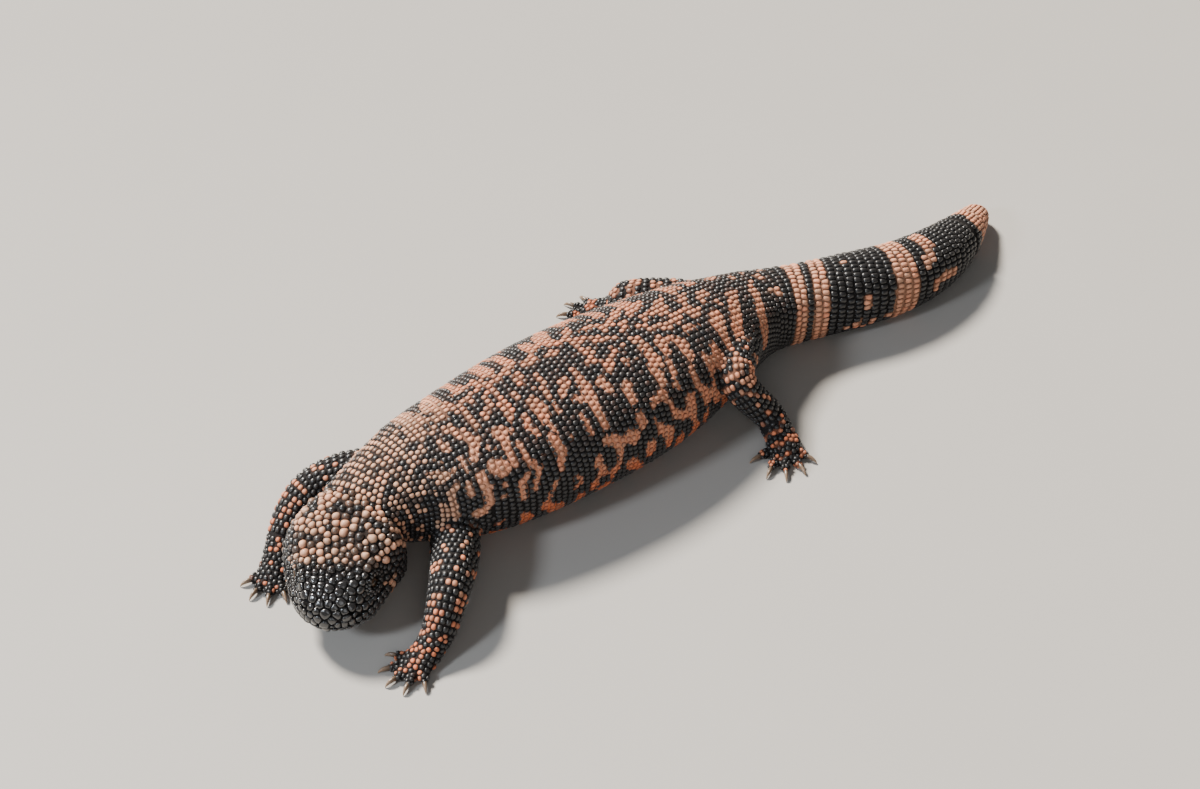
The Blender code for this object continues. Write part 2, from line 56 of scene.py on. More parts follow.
# The body's stations, legs and feet, as in the solids: x, y and z of the line, half width, rise and drop
STATIONS = {
    "snout": (-190, -29, 17, 14.0, 11.0, 7.0),
    "muzzle": (-182, -23, 19, 18.0, 13.0, 9.0),
    "brow": (-169, -12, 23, 25.0, 16.0, 11.5),
    "jowl": (-158, -3, 26, 27.5, 17.5, 13.5),
    "nape": (-146, 4, 28, 23.5, 18.0, 15.5),
    "neck": (-133, 7, 29, 24.0, 19.5, 18.0),
    "shoulder": (-112, 7, 28, 32.0, 25.0, 22.5),
    "chest": (-86, 3, 27, 39.0, 29.5, 26.0),
    "midriff": (-38, -2, 27, 44.5, 32.5, 28.0),
    "loin": (20, -6, 26, 42.5, 31.0, 27.0),
    "hip": (72, -6, 24, 31.0, 25.5, 23.5),
    "vent": (100, -7, 21, 24.0, 20.5, 20.0),
    "tail_root": (122, -13, 19, 20.5, 18.5, 19.5),
    "tail_fat": (155, -26, 18, 19.5, 18.5, 19.0),
    "tail_mid": (188, -35, 16, 18.5, 17.5, 17.0),
    "tail_end": (224, -35, 13, 15.5, 15.0, 13.8),
    "tail_tip": (276, -20, 6, 6.0, 6.0, 6.6),
}
SNOUT_ROUND = 13.0
TAIL_ROUND = 9.0
BACK_SQUARE = 2.2
BELLY_SQUARE = 2.7
HEAD_END = 57.0
TORSO_END = 306.0
TAIL_PARTING = 396.0

LEGS = {
    "fore_left": ((-104, -12, 21, 12.5), (-118, -31, 18, 11.5), (-137, -50, 18, 9.6), (-152, -60, 8.3, 7.6)),
    "fore_right": ((-108, 12, 27, 13.5), (-126, 31, 25, 12.5), (-150, 41, 20, 10.0), (-171, 34, 8.5, 7.6)),
    "hind_left": ((84, -12, 25, 14.5), (69, -28, 29, 12.5), (50, -45, 32, 9.6), (61, -61, 9.5, 7.8)),
    "hind_right": ((84, 4, 25, 14.5), (72, 19, 28, 12.5), (55, 37, 29, 9.6), (65, 51, 9.5, 7.8)),
}
BEND_SPREAD = 5.0
FEET = {
    "fore_left": (180, (-163, -62)),
    "fore_right": (224, (-181, 26)),
    "hind_left": (228, (56, -75)),
    "hind_right": (140, (56, 62)),
}
FORE_TOES = ((-58, 6.5), (-27, 8.5), (0, 9.5), (26, 9.0), (56, 6.5))
HIND_TOES = ((-56, 7.0), (-27, 9.5), (0, 11.5), (24, 11.5), (58, 8.0))
PALM = {"fore": (9.0, 8.0, 5.0), "hind": (10.5, 9.0, 5.4)}
TOE_RADII = (2.7, 2.7, 2.0)
TOE_HEIGHTS = (2.5, 2.4, 1.75)
# The palm's middle as a share of its half height, the depth of a toe's hide and its count of rings
PALM_LIFT = 0.72
TOE_COAT = 0.35
TOE_ROWS = 22
CLAW_LENGTH = {"fore": 5.2, "hind": 5.8}
CLAW_THICK = 1.25

# The hide: how deep it lies under the solids' surface, the steps of its mesh on head, body and legs, how far
# it stays off the floor, and how far round the join of leg and body it is relaxed
COAT = 0.5
HEAD_ROW = 0.45
BODY_ROW = 1.9
AROUND = 160
SIDE_CROWDING = 0.6
LEG_VOXEL = 0.9
FLOOR_CLEAR = 0.3
JOIN_REACH = (2, 8)

# The head's openings, each as s, lift above the horizontal in radians, and its stretch along and round the
# head, how far round each of them no bead stands, and the mouth line
EYE_AT = (21.0, math.radians(33))
EYE_STRETCH = (1.22, 0.9)
NOSTRIL = ((5.6, math.radians(38)), (1.1, 0.85))
EAR = ((49.5, math.radians(2)), (1.5, 3.8))
OPENINGS = ((EYE_AT, EYE_STRETCH), NOSTRIL, EAR)
BARE_REACH = (2.75, 2.25, 1.25)
MOUTH_END = 37.0
LIP_RISE = 2.1

# Beads: directions of the outline, the rings of a dome as shares of its width, how deep its root is sunk, how
# many neighbours shape it, and the reach of its own spot on the unwrap
SIDES = 12
RINGS = (1.0, 0.93, 0.72, 0.38)
ROOT_DEPTH = 0.35
NEIGHBOURS = 12
PATCH = 0.0015
# How close beads may lie, in shares of their spacing: fitted plates, scattered beads, and all together
PLATE_CROWDING = 0.6
SCATTER_CROWDING = 0.83
CROWDING = 0.62
# Seeds of the random draws. A right leg or foot takes the next number after the left one's
HEAD_SEED = 5
BODY_SEED = 70
LEG_SEED = 69
FOOT_SEED = 89
LOOKS_SEED = 99


def spline(knots, values, at):
    """Natural cubic spline through values at knots, read at the places in at."""
    k, v, at = np.asarray(knots, float), np.asarray(values, float), np.atleast_1d(np.asarray(at, float))
    h = np.diff(k)
    matrix, right = np.eye(len(k)), np.zeros_like(v)
    for i in range(1, len(k) - 1):
        matrix[i, i - 1 : i + 2] = h[i - 1], 2 * (h[i - 1] + h[i]), h[i]
        right[i] = 6 * ((v[i + 1] - v[i]) / h[i] - (v[i] - v[i - 1]) / h[i - 1])
    bend = np.linalg.solve(matrix, right)
    i = np.clip(np.searchsorted(k, at) - 1, 0, len(k) - 2)
    a, b, width = (at - k[i])[:, None], (k[i + 1] - at)[:, None], h[i][:, None]
    curve = (bend[i] * b**3 + bend[i + 1] * a**3) / (6 * width)
    return curve + (v[i] / width - bend[i] * width / 6) * b + (v[i + 1] / width - bend[i + 1] * width / 6) * a


def length(vectors):
    """Length of each vector."""
    return np.linalg.norm(vectors, axis=-1)


def unit(vectors):
    """Vectors divided by their lengths."""
    return vectors / np.maximum(length(vectors)[..., None], 1e-9)


def run_along(points):
    """Distance of each point from the first, along the line through them."""
    return np.r_[0, np.cumsum(length(np.diff(points, axis=0)))]


def circle(count, shift=0.0):
    """Angles of places round a full turn, moved on by a share of one step."""
    return (np.arange(count) + shift) * 2 * math.pi / count


def compass(turn):
    """Cosine and sine of each angle, as two columns."""
    return np.stack([np.cos(turn), np.sin(turn)], 1)


TABLE = np.array(list(STATIONS.values()), float)
ARC = run_along(TABLE[:, :3])
LENGTH = ARC[-1]
TURNS = circle(SIDES)


def midline(s):
    """Points of the body's middle line."""
    return spline(ARC, TABLE[:, :3], s)


def near(value, middle, spread):
    """A smooth hump, 1 at the middle: e to the minus square of the distance over the spread."""
    return np.exp(-(((value - middle) / spread) ** 2))


def ramp(value, start, end):
    """0 before start, 1 after end, and the cubic 3t^2 - 2t^3 between them."""
    share = np.clip((value - start) / (end - start), 0, 1)
    return share * share * (3 - 2 * share)


def rounded_end(distance, reach):
    """Share of the full radius at a distance from a round end: a quarter circle."""
    share = np.clip(distance / reach, 0, 1)
    return np.sqrt(1 - (1 - share) ** 2)


def upright(along):
    """Level sideways and upward directions for each direction along a line."""
    side = unit(np.cross(along, (0.0, 0.0, 1.0)))
    return side, np.cross(side, along)


def section(s):
    """The body's section at s: middle, sideways and upward directions, three radii, share of full size."""
    step = 0.5
    along = unit(midline(np.minimum(s + step, LENGTH)) - midline(np.maximum(s - step, 0)))
    closing = rounded_end(s, SNOUT_ROUND) * rounded_end(LENGTH - s, TAIL_ROUND)
    return midline(s), *upright(along), spline(ARC, TABLE[:, 3:], s) * closing[:, None], closing


def half_section(radii, above):
    """Height and squareness of the half of the section, above or below, that each point lies in."""
    return np.where(above, radii[:, 1], radii[:, 2]), np.where(above, BACK_SQUARE, BELLY_SQUARE)


def rise_over_midline(s, points):
    """How high each point lies above the middle line, at right angles to it."""
    middle, _, up, _, _ = section(s)
    return np.sum((points - middle) * up, axis=1)


def lift_angle(theta):
    """Angle above the horizontal on whichever side the point lies, from -90 to 90 degrees."""
    return np.degrees(np.arcsin(np.clip(np.sin(theta), -1, 1)))


# Flesh of the head over its plain sections: height, s and its spread, lift and its spread in degrees
HEAD_FLESH = {
    "jaw_muscle": (2.2, 42, 9, 50, 24),
    "crown_groove": (-1.1, 38, 13, 90, 12),
    "brow": (1.5, 21, 6, 54, 11),
    "eye_hollow": (-1.2, 21.5, 5, 28, 12),
    "cheek_hollow": (-1.0, 12.5, 4.5, 36, 12),
    "nostril": (0.8, 5, 3, 40, 15),
}


def relief(s, theta):
    """Flesh over the plain sections, as in the solids: humps of the head, lips, glands and neck folds."""
    lift = lift_angle(theta)
    lips = 1 - ramp(s, 36, 42)
    out = 0.0
    for high, at, long, up, wide in HEAD_FLESH.values():
        out = out + high * near(s, at, long) * near(lift, up, wide)
    out += 0.8 * lips * near(lift, 10, 6) + 0.7 * lips * near(lift, -11, 6)
    out -= 1.7 * lips * near(lift, 0, 3)
    out += 2.3 * near(s, 33, 11) * near(lift, -27, 15)
    out -= 1.3 * near(s, 58, 2.6) * ramp(lift, -80, -10)
    out -= 1.6 * near(s, 66, 2.6) * (1 - ramp(lift, -20, 25))
    return out


def hide(s, theta, grow=0.0):
    """Points of the body: a superellipse on each section, fuller below, plus the relief, pressed flat."""
    s, theta = np.broadcast_arrays(np.atleast_1d(np.asarray(s, float)), np.asarray(theta, float))
    middle, side, up, radii, closing = section(s)
    cosine, sine = np.cos(theta), np.sin(theta)
    tall, square = half_section(radii, sine >= 0)
    across = radii[:, 0] * np.sign(cosine) * np.abs(cosine) ** (2 / square)
    rise = tall * np.sign(sine) * np.abs(sine) ** (2 / square)
    size = np.maximum(np.hypot(across, rise), 1e-6)
    swell = 1 + (relief(s, theta) * closing + grow) / size
    point = middle + side * (across * swell)[:, None] + up * (rise * swell)[:, None]
    point[:, 2] = np.maximum(point[:, 2], -grow)
    return point


def outward(s, theta):
    """Unit direction out of the body: the cross product of the steps along and round it."""
    s, theta = np.broadcast_arrays(np.atleast_1d(np.asarray(s, float)), np.asarray(theta, float))
    step_s, step_t = 0.3, 0.02
    ahead, behind = np.minimum(s + step_s, LENGTH - 0.01), np.maximum(s - step_s, 0.01)
    along = hide(ahead, theta) - hide(behind, theta)
    around = hide(s, theta + step_t) - hide(s, theta - step_t)
    return unit(np.cross(along, around))


def theta_at_rise(s, rise):
    """The angle on the left side where the plain section lies a given height above the mouth line."""
    tall, square = half_section(section(s)[3], rise > 0)
    share = np.clip(np.abs(rise) / np.maximum(tall, 1e-3), 0, 1)
    return np.sign(rise) * np.arcsin(share ** (square / 2))


def head_place(at, right_side):
    """A point of the head, and axes there: along the head, round it, and out of it."""
    s, lift = at
    theta = math.pi - lift if right_side else lift
    point = hide(s, theta)[0]
    out = outward(s, theta)[0]
    along = midline(s + 1)[0] - midline(s - 1)[0]
    along = unit(along - out * (along @ out))
    return point, np.array([along, np.cross(out, along), out])


def from_openings(points):
    """For each side of the head: distances of points from eye, nostril and ear, over their stretch."""
    for right_side in (False, True):
        away = []
        for at, (long, wide) in OPENINGS:
            place, axes = head_place(at, right_side)
            local = (points - place) @ axes.T
            too_deep = np.abs(local[:, 2]) > 6
            away.append(np.hypot(local[:, 0] / long, local[:, 1] / wide) + 100 * too_deep)
        yield away


def fine_relief(s, theta, points):
    """Depth of mouth line, eyelids, nostrils, ear openings and folds, as humps and hollows of distance."""
    lift = lift_angle(theta)
    lips = 1 - ramp(s, MOUTH_END - 2, MOUTH_END + 2)
    out = -1.5 * near(rise_over_midline(s, points), 0, 0.75) * lips
    for eye, nostril, ear in from_openings(points):
        out += 1.15 * near(eye, 3.25, 0.75) - 1.4 * (1 - ramp(eye, 1.9, 2.8)) - 0.4 * near(eye, 4.9, 0.6)
        out += 0.5 * near(nostril, 2.3, 0.5) - 2.6 * (1 - ramp(nostril, 0.9, 1.8))
        out += 0.5 * near(ear, 1.5, 0.25) - 2.4 * (1 - ramp(ear, 0.7, 1.2))
    trunk = ramp(s, 92, 120) * (1 - ramp(s, 250, 290))
    out -= 0.7 * trunk * near(lift, -30, 4)
    wrinkle = np.sin(s * 0.62 + lift * 0.035) * near(lift, -18, 26)
    out += 0.28 * wrinkle * (near(s, 96, 16) + near(s, 262, 18) + 0.7 * near(s, 72, 9))
    return out


def skin_points(s, theta):
    """The hide's own surface: the solids' sections set in by the coat's depth, with the fine relief."""
    base = hide(s, theta, grow=-COAT)
    points = base + outward(s, theta) * fine_relief(s, theta, base)[:, None]
    points[:, 2] = np.maximum(points[:, 2], COAT)
    return points


def tube_faces(rows, around):
    """Quads between rings, and fans that close both ends round two last points, as two arrays."""
    i, j = np.indices((rows - 1, around))
    a, b = i * around + j, i * around + (j + 1) % around
    quads = np.stack([a, a + around, b + around, b], -1).reshape(-1, 4)
    k = np.arange(around)
    after, low = (k + 1) % around, (rows - 1) * around
    first, last = np.full(around, rows * around), np.full(around, rows * around + 1)
    fans = np.vstack([np.stack([first, k, after], 1), np.stack([last, low + after, low + k], 1)])
    return quads, fans


def mesh_object(name, points, *faces):
    """A smooth named object from points in millimetres and arrays of faces, one for each count of corners."""
    mesh = bpy.data.meshes.new(name)
    corners = np.concatenate([f.ravel() for f in faces]).astype(np.int32)
    counts = np.concatenate([np.full(len(f), f.shape[1]) for f in faces])
    starts = np.r_[0, np.cumsum(counts)[:-1]].astype(np.int32)
    mesh.vertices.add(len(points))
    mesh.vertices.foreach_set("co", ((points - ORIGIN) * MM).astype(np.float32).ravel())
    mesh.loops.add(len(corners))
    mesh.loops.foreach_set("vertex_index", corners)
    mesh.polygons.add(len(counts))
    mesh.polygons.foreach_set("loop_start", starts)
    mesh.polygons.foreach_set("use_smooth", np.ones(len(counts), bool))
    mesh.update(calc_edges=True)
    mesh.validate()
    made = bpy.data.objects.new(name, mesh)
    bpy.context.scene.collection.objects.link(made)
    return made


def mesh_arrays(thing):
    """Points in millimetres and triangles of an object as its modifiers leave it."""
    bpy.context.view_layer.update()
    shaped = thing.evaluated_get(bpy.context.evaluated_depsgraph_get()).to_mesh()
    shaped.calc_loop_triangles()
    points = np.zeros(len(shaped.vertices) * 3, np.float32)
    shaped.vertices.foreach_get("co", points)
    triangles = np.zeros(len(shaped.loop_triangles) * 3, np.int32)
    shaped.loop_triangles.foreach_get("vertices", triangles)
    return points.reshape(-1, 3).astype(float) / MM + ORIGIN, triangles.reshape(-1, 3)


def remove(things):
    """Deletes objects that only helped to make others."""
    for thing in things:
        bpy.data.objects.remove(thing, do_unlink=True)


def store(thing, **values):
    """Keeps one number for each point of a mesh under each name, for its material to read."""
    for name, value in values.items():
        kept = thing.data.attributes.new(name, "FLOAT", "POINT")
        kept.data.foreach_set("value", np.asarray(value, np.float32).ravel())


def body_tube():
    """The body as a closed tube. On the head its rings lie close, and their points crowd to the sides."""
    head_rows = np.r_[0.02, 0.12, np.arange(0.3, HEAD_END + 5, HEAD_ROW)]
    body_rows = np.arange(HEAD_END + 6, LENGTH - 10, BODY_ROW)
    end_rows = LENGTH - TAIL_ROUND * (1 - np.sin(np.linspace(0, 0.49 * math.pi, 14)))
    rows = np.r_[head_rows, body_rows, end_rows]
    turn = -math.pi / 2 + circle(AROUND)
    crowding = SIDE_CROWDING * (1 - ramp(rows, HEAD_END, HEAD_END + 25))
    theta = (turn[None] - crowding[:, None] / 2 * np.sin(2 * turn)[None]).ravel()
    points = skin_points(np.repeat(rows, AROUND), theta)
    points = np.vstack([points, midline([0, LENGTH])])
    return mesh_object("body_tube", points, *tube_faces(len(rows), AROUND))


def leg_arc(knots):
    """Distance of each knot of a leg from its root."""
    return run_along(np.array(knots, float)[:, :3])


def leg_sections(knots, t):
    """A leg's sections at distances from its root: middle and radius, direction, sideways and upwards."""
    table = np.array(knots, float)
    arc = leg_arc(knots)
    ahead, behind = np.minimum(t + BEND_SPREAD, arc[-1]), np.maximum(t - BEND_SPREAD, 0)
    along = unit(spline(arc, table[:, :3], ahead) - spline(arc, table[:, :3], behind))
    return spline(arc, table, t), along, *upright(along)


def tube_points(line, across, tall, around):
    """Points of a tube of ellipses along a line, by half widths and half heights, and its directions."""
    along = unit(np.gradient(line, axis=0))
    side, up = upright(along)
    turn = circle(around)
    sideways = np.outer(across, np.cos(turn))[..., None] * side[:, None]
    points = line[:, None] + sideways + np.outer(tall, np.sin(turn))[..., None] * up[:, None]
    return points.reshape(-1, 3), along


def round_tube(name, line, across, tall, around=24):
    """The same tube as an object, closed by fans to slightly raised tips."""
    points, along = tube_points(line, across, tall, around)
    tips = [line[0] - along[0] * tall[0] * 0.05, line[-1] + along[-1] * tall[-1] * 0.05]
    return mesh_object(name, np.vstack([points, tips]), *tube_faces(len(line), around))


def ball(name, centre, radii, axes, around=32, rows=15):
    """An ellipsoid of rings about its last axis."""
    tilt = np.repeat(np.linspace(0, math.pi, rows + 2)[1:-1], around)
    turn = np.tile(circle(around), rows)
    shape = np.stack([np.sin(tilt) * np.cos(turn), np.sin(tilt) * np.sin(turn), np.cos(tilt)], 1)
    points = centre + (np.vstack([shape, [(0, 0, 1), (0, 0, -1)]]) * radii) @ np.asarray(axes, float)
    quads, fans = tube_faces(rows, around)
    if np.linalg.det(axes) < 0:
        quads, fans = quads[:, ::-1], fans[:, ::-1]
    return mesh_object(name, points, quads, fans)


def palm_of(key):
    """Middle of a foot's palm, the direction it points, and its half length, half width and half height."""
    heading, (x, y) = FEET[key]
    size = PALM[key.split("_")[0]]
    return np.array([x, y, size[2] * PALM_LIFT]), math.radians(heading), size


def toes_of(key):
    """For each toe of a foot: its root, knuckle and end, and the direction it points."""
    palm, _, (_, wide, _) = palm_of(key)
    mirror = -1 if key.endswith("left") else 1
    for turn, reach in FORE_TOES if key.startswith("fore") else HIND_TOES:
        angle = math.radians(FEET[key][0] + mirror * turn)
        aim = np.array([math.cos(angle), math.sin(angle), 0.0])
        root = palm + aim * wide * 0.45
        knuckle = palm + aim * (wide * 0.8 + reach * 0.45)
        end = palm + aim * (wide * 0.8 + reach)
        root[2], knuckle[2], end[2] = TOE_HEIGHTS
        yield root, knuckle, end, aim


def through(values, count):
    """A curve of many places through three values."""
    return spline([0, 1, 2], values, np.linspace(0, 2, count))


def leg_mesh(key):
    """A whole leg with its foot: tubes and an ellipsoid, remeshed into one skin and relaxed."""
    knots = LEGS[key]
    palm, heading, (long, wide, high) = palm_of(key)
    t = np.linspace(0, leg_arc(knots)[-1] + 0.01, 60)
    places, along, _, _ = leg_sections(knots, np.minimum(t, leg_arc(knots)[-1]))
    radii = places[:, 3] - COAT
    ankle, ankle_radius, down = places[-1, :3], radii[-1], along[-1]
    forward = np.array([math.cos(heading), math.sin(heading), 0.0])
    axes = np.array([forward, [-forward[1], forward[0], 0.0], [0.0, 0.0, 1.0]])
    pieces = [round_tube("leg", places[:, :3], radii, radii, 36)]
    pieces.append(ball("palm", palm, (long - COAT, wide - COAT, high - COAT), axes))
    bridge = through([ankle - down, ankle * 0.45 + palm * 0.55, palm], 16)
    across = through([[ankle_radius], [wide * 0.85], [wide * 0.85]], 16)[:, 0]
    tall = through([[ankle_radius], [high * 1.2], [high * 0.9]], 16)[:, 0]
    pieces.append(round_tube("bridge", bridge, across, tall))
    for root, knuckle, end, _ in toes_of(key):
        share = np.linspace(0, 2, TOE_ROWS)
        thick = through([[radius - TOE_COAT] for radius in TOE_RADII], TOE_ROWS)[:, 0]
        thick = thick * (1 + 0.1 * np.sin(share * 2 * math.pi - 0.6)) * rounded_end(2.12 - share, 0.5)
        pieces.append(round_tube("toe", through([root, knuckle, end], TOE_ROWS), thick, thick, 16))
    leg = pieces[0]
    with bpy.context.temp_override(active_object=leg, selected_editable_objects=pieces):
        bpy.ops.object.join()
    remesh = leg.modifiers.new("one_skin", "REMESH")
    remesh.mode = "VOXEL"
    remesh.voxel_size = LEG_VOXEL * MM
    points, triangles = mesh_arrays(leg)
    remove([leg])
    points = relaxed(points, triangles, np.full(len(points), 0.5), 5)
    points[:, 2] = np.maximum(points[:, 2], FLOOR_CLEAR)
    return mesh_object("leg_" + key, points, triangles)


def relaxed(points, triangles, weight, rounds):
    """Points drawn towards the mean of their neighbours by a weight, a number of times."""
    ends = np.vstack([triangles[:, [0, 1]], triangles[:, [1, 2]], triangles[:, [2, 0]]])
    a, b = np.r_[ends, ends[:, ::-1]].T
    count = np.maximum(np.bincount(a, minlength=len(points)), 1)
    for _ in range(rounds):
        mean = np.stack([np.bincount(a, points[b, k], len(points)) for k in range(3)], 1) / count[:, None]
        points = points + (mean - points) * weight[:, None]
    return points


def point_normals(points, triangles):
    """Unit normal of each point of a mesh, the sum of its triangles' cross products."""
    corners = points[triangles]
    across = np.cross(corners[:, 1] - corners[:, 0], corners[:, 2] - corners[:, 0])
    total = np.zeros_like(points)
    for k in range(3):
        total += np.stack([np.bincount(triangles[:, k], across[:, c], len(points)) for c in range(3)], 1)
    return unit(total)


def place_on_body(points):
    """For any points: s of the nearest place of the middle line, angle round it, distance out of the body."""
    line_s = np.arange(0, LENGTH, 1.0)
    line = midline(line_s)
    s = np.zeros(len(points))
    for part in range(0, len(points), 4000):
        some = points[part : part + 4000]
        away = (some**2).sum(1)[:, None] - 2 * some @ line.T + (line**2).sum(1)
        s[part : part + 4000] = line_s[np.argmin(away, axis=1)]
    for _ in range(2):
        middle, side, up, _, _ = section(s)
        s = np.clip(s + np.sum((points - middle) * np.cross(up, side), axis=1), 0.02, LENGTH - 0.02)
    middle, side, up, radii, closing = section(s)
    x, y = np.sum((points - middle) * side, axis=1), np.sum((points - middle) * up, axis=1)
    tall, square = half_section(radii, y >= 0)
    share = (np.abs(x / radii[:, 0]) ** square + np.abs(y / tall) ** square) ** (1 / square)
    distance = (1 - 1 / np.maximum(share, 1e-3)) * np.hypot(x, y)
    return s, np.arctan2(y / tall, x / radii[:, 0]), distance


def place_on_leg(points, key):
    """For any points: distance along the leg from its root, and distance out of the leg's plain tube."""
    t = np.linspace(0, leg_arc(LEGS[key])[-1], 80)
    places = leg_sections(LEGS[key], t)[0]
    away = length(points[:, None] - places[None, :, :3]) - places[:, 3]
    nearest = np.argmin(away, axis=1)
    return t[nearest], away[np.arange(len(points)), nearest]


def leg_distance(points):
    """Distance of points out of the nearest leg."""
    return np.min([place_on_leg(points, key)[1] for key in LEGS], axis=0)


def build_skin():
    """One closed hide: the body's tube and the four legs in one union, relaxed where a leg joins it."""
    body = body_tube()
    legs = [leg_mesh(key) for key in LEGS]
    for leg in legs:
        join = body.modifiers.new("join", "BOOLEAN")
        join.operation = "UNION"
        join.solver = "MANIFOLD"
        join.object = leg
    points, triangles = mesh_arrays(body)
    remove([body, *legs])
    spot = np.flatnonzero(leg_distance(points) < 9)
    out_of_leg, out_of_body = leg_distance(points[spot]), place_on_body(points[spot])[2]
    weight = np.zeros(len(points))
    far_from_leg, far_from_body = (ramp(np.abs(out), *JOIN_REACH) for out in (out_of_leg, out_of_body))
    weight[spot] = 0.6 * (1 - far_from_leg) * (1 - far_from_body)
    points = relaxed(points, triangles, weight, 30)
    points[:, 2] = np.maximum(points[:, 2], FLOOR_CLEAR)
    return points, triangles


# Markings: pink patches on black, the same for the hide and for the beads on it


def waves(seed, count, wavelength, spread, plane):
    """Wave vectors and phases for a patchy field, all near one length, in a plane given by two rows."""
    draw = np.random.default_rng(seed)
    angle = draw.uniform(0, 2 * math.pi, count)
    size = 2 * math.pi / (wavelength * draw.uniform(1 - spread, 1 + spread, count))
    return (compass(angle) * size[:, None]) @ np.array(plane, float), draw.uniform(0, 2 * math.pi, count)


def field(points, wave):
    """The sum of cosines of the waves at each point, scaled to a spread of about 1."""
    vectors, phases = wave
    total = np.zeros(len(points))
    for vector, phase in zip(vectors, phases):
        total += np.cos(points @ vector + phase)
    return total * math.sqrt(2 / len(phases))


# On the flank the patches stand upright, and on the back they lie across it
FLANK_WAVES = waves(11, 46, 11.0, 0.25, ((1.0, 0.0, 0.0), (0.0, 0.0, 0.6)))
BACK_WAVES = waves(23, 46, 9.5, 0.3, ((0.8, 0.0, 0.0), (0.0, 1.0, 0.0)))
SMALL_WAVES = waves(37, 60, 8.5, 0.35, ((1.0, 0.0, 0.4), (0.0, 1.0, 0.5)))
EDGE_WAVES = waves(41, 30, 4.2, 0.3, ((1.0, 0.0, 0.3), (0.0, 0.6, 1.0)))

# Pink share of the hide down the body, on the back and on the sides
COVER_TOP = (
    (0, 20, 26, 50, 60, 66, 110, 128, 150, 235, 262, 306),
    (-0.4, -0.35, 0.56, 0.6, 0.6, 0.8, 0.7, 0.58, 0.6, 0.56, 0.42, 0.4),
)
COVER_SIDE = ((0, 22, 40, 60, 80, 112, 290, 306), (-0.3, -0.25, 0.32, 0.44, 0.42, 0.38, 0.38, 0.28))
# How much each bead's own chance counts against the patches
CHANCE_TOP = ((0, 60, 106, 125, 150, 306), (1.2, 1.3, 1.1, 0.8, 0.5, 0.45))
CHANCE_SIDE = ((0, 60, 82, 112, 306), (1.5, 1.0, 0.5, 0.05, 0.05))
# Pink rings of the tail, as start and end distances
TAIL_RINGS = ((324.3, 333.7), (337.8, 347.2), (382.8, 396.4), (456.0, 490.0))

# Middle lines of the pink patches of the left side: s, angle in degrees and width of each corner
PATCHES = (
    ((109, 87, 4.6), (114, 76, 5.7), (116, 68, 5.7), (112, 56, 3.8)),
    ((102, 81, 3.7), (103, 71, 3.5)),
    ((128, 66, 7.7), (128, 58, 4.6), (127, 48, 3.3), (127, 39, 3.3)),
    ((118, 44, 6.4), (122, 39, 7.3), (120, 35, 3.6)),
    ((111, 39, 4.9), (112, 28, 5.1), (112, 15, 3.3), (109, 7, 3.3), (105, 6, 4.7)),
    ((150, 76, 6.5), (151, 69, 7.8), (150, 62, 4.6)),
    ((143, 69, 3.3), (141, 60, 3.3), (143, 53, 3.3)),
    ((146, 86, 5.6),),
    ((141, 103, 2.4), (139, 90, 2.8), (138, 78, 5.5), (136, 72, 3.7)),
    ((136, 100, 2.6), (134, 89, 2.4), (127, 81, 2.6)),
    ((122, 99, 3.5), (121, 87, 4.1), (121, 78, 2.8)),
    ((162, 91, 3.0), (160, 82, 3.4), (158, 73, 2.6)),
    ((170, 78, 5.6), (164, 70, 3.4)),
    ((178, 83, 3.8), (176, 66, 5.6), (174, 48, 4.7), (174, 36, 3.4)),
    ((169, 64, 3.2), (172, 60, 3.2)),
    ((156, 102, 5.3), (153, 91, 4.3)),
    ((192, 79, 2.5), (192, 72, 4.2), (199, 81, 4.0)),
    ((148, 46, 4.6), (149, 33, 4.8), (146, 21, 3.1)),
    ((133, 53, 3.1), (133, 40, 3.1), (136, 27, 2.8), (132, 11, 2.4)),
    ((131, 27, 2.4), (127, 22, 3.1), (126, 7, 2.8)),
    ((142, 10, 2.4), (138, -3, 2.0)),
    ((98, 38, 3.1), (94, 31, 4.0), (94, 13, 3.6), (95, -7, 3.8)),
    ((88, 21, 3.3), (90, 12, 4.0), (86, 1, 4.4), (85, -12, 3.1)),
    ((78, 20, 2.5), (75, 13, 2.5), (70, 22, 2.2)),
    ((76, 61, 4.1), (74, 47, 4.1)),
    ((84, 54, 3.1), (79, 41, 3.1)),
    ((88, 57, 3.1), (96, 50, 3.3), (90, 46, 3.1)),
    ((90, 71, 1.8),), ((94, 67, 1.8),), ((97, 63, 1.8),),
    ((100, 52, 2.7),), ((86, 37, 2.7),), ((120, 59, 2.0),),
    ((106, 60, 2.4), (106, 49, 1.8)),
    ((104, 37, 2.5), (104, 27, 3.4)),
    ((122, 57, 1.7),), ((120, 25, 2.6),), ((134, 64, 2.0),),
    ((72, 68, 2.2),), ((68, 51, 2.5),), ((74, -8, 2.2),),
    ((158, 67, 2.0), (158, 61, 2.8)),
    ((117, 15, 1.8), (121, 15, 1.6)),
    ((128, 95, 3.0),), ((156, 84, 1.9),), ((140, 37, 2.0),), ((156, 40, 2.2),),
    ((94, 91, 5.3), (90, 81, 4.7), (86, 78, 3.1), (82, 68, 3.1)),
    ((166, 51, 2.8), (166, 36, 2.8)),
    ((194, 56, 5.0), (193, 43, 3.6)),
    ((217, 75, 4.6), (212, 57, 5.1), (212, 43, 4.2)),
    ((226, 78, 4.0), (224, 63, 4.0)),
    ((221, 57, 3.5), (220, 45, 3.5)),
)
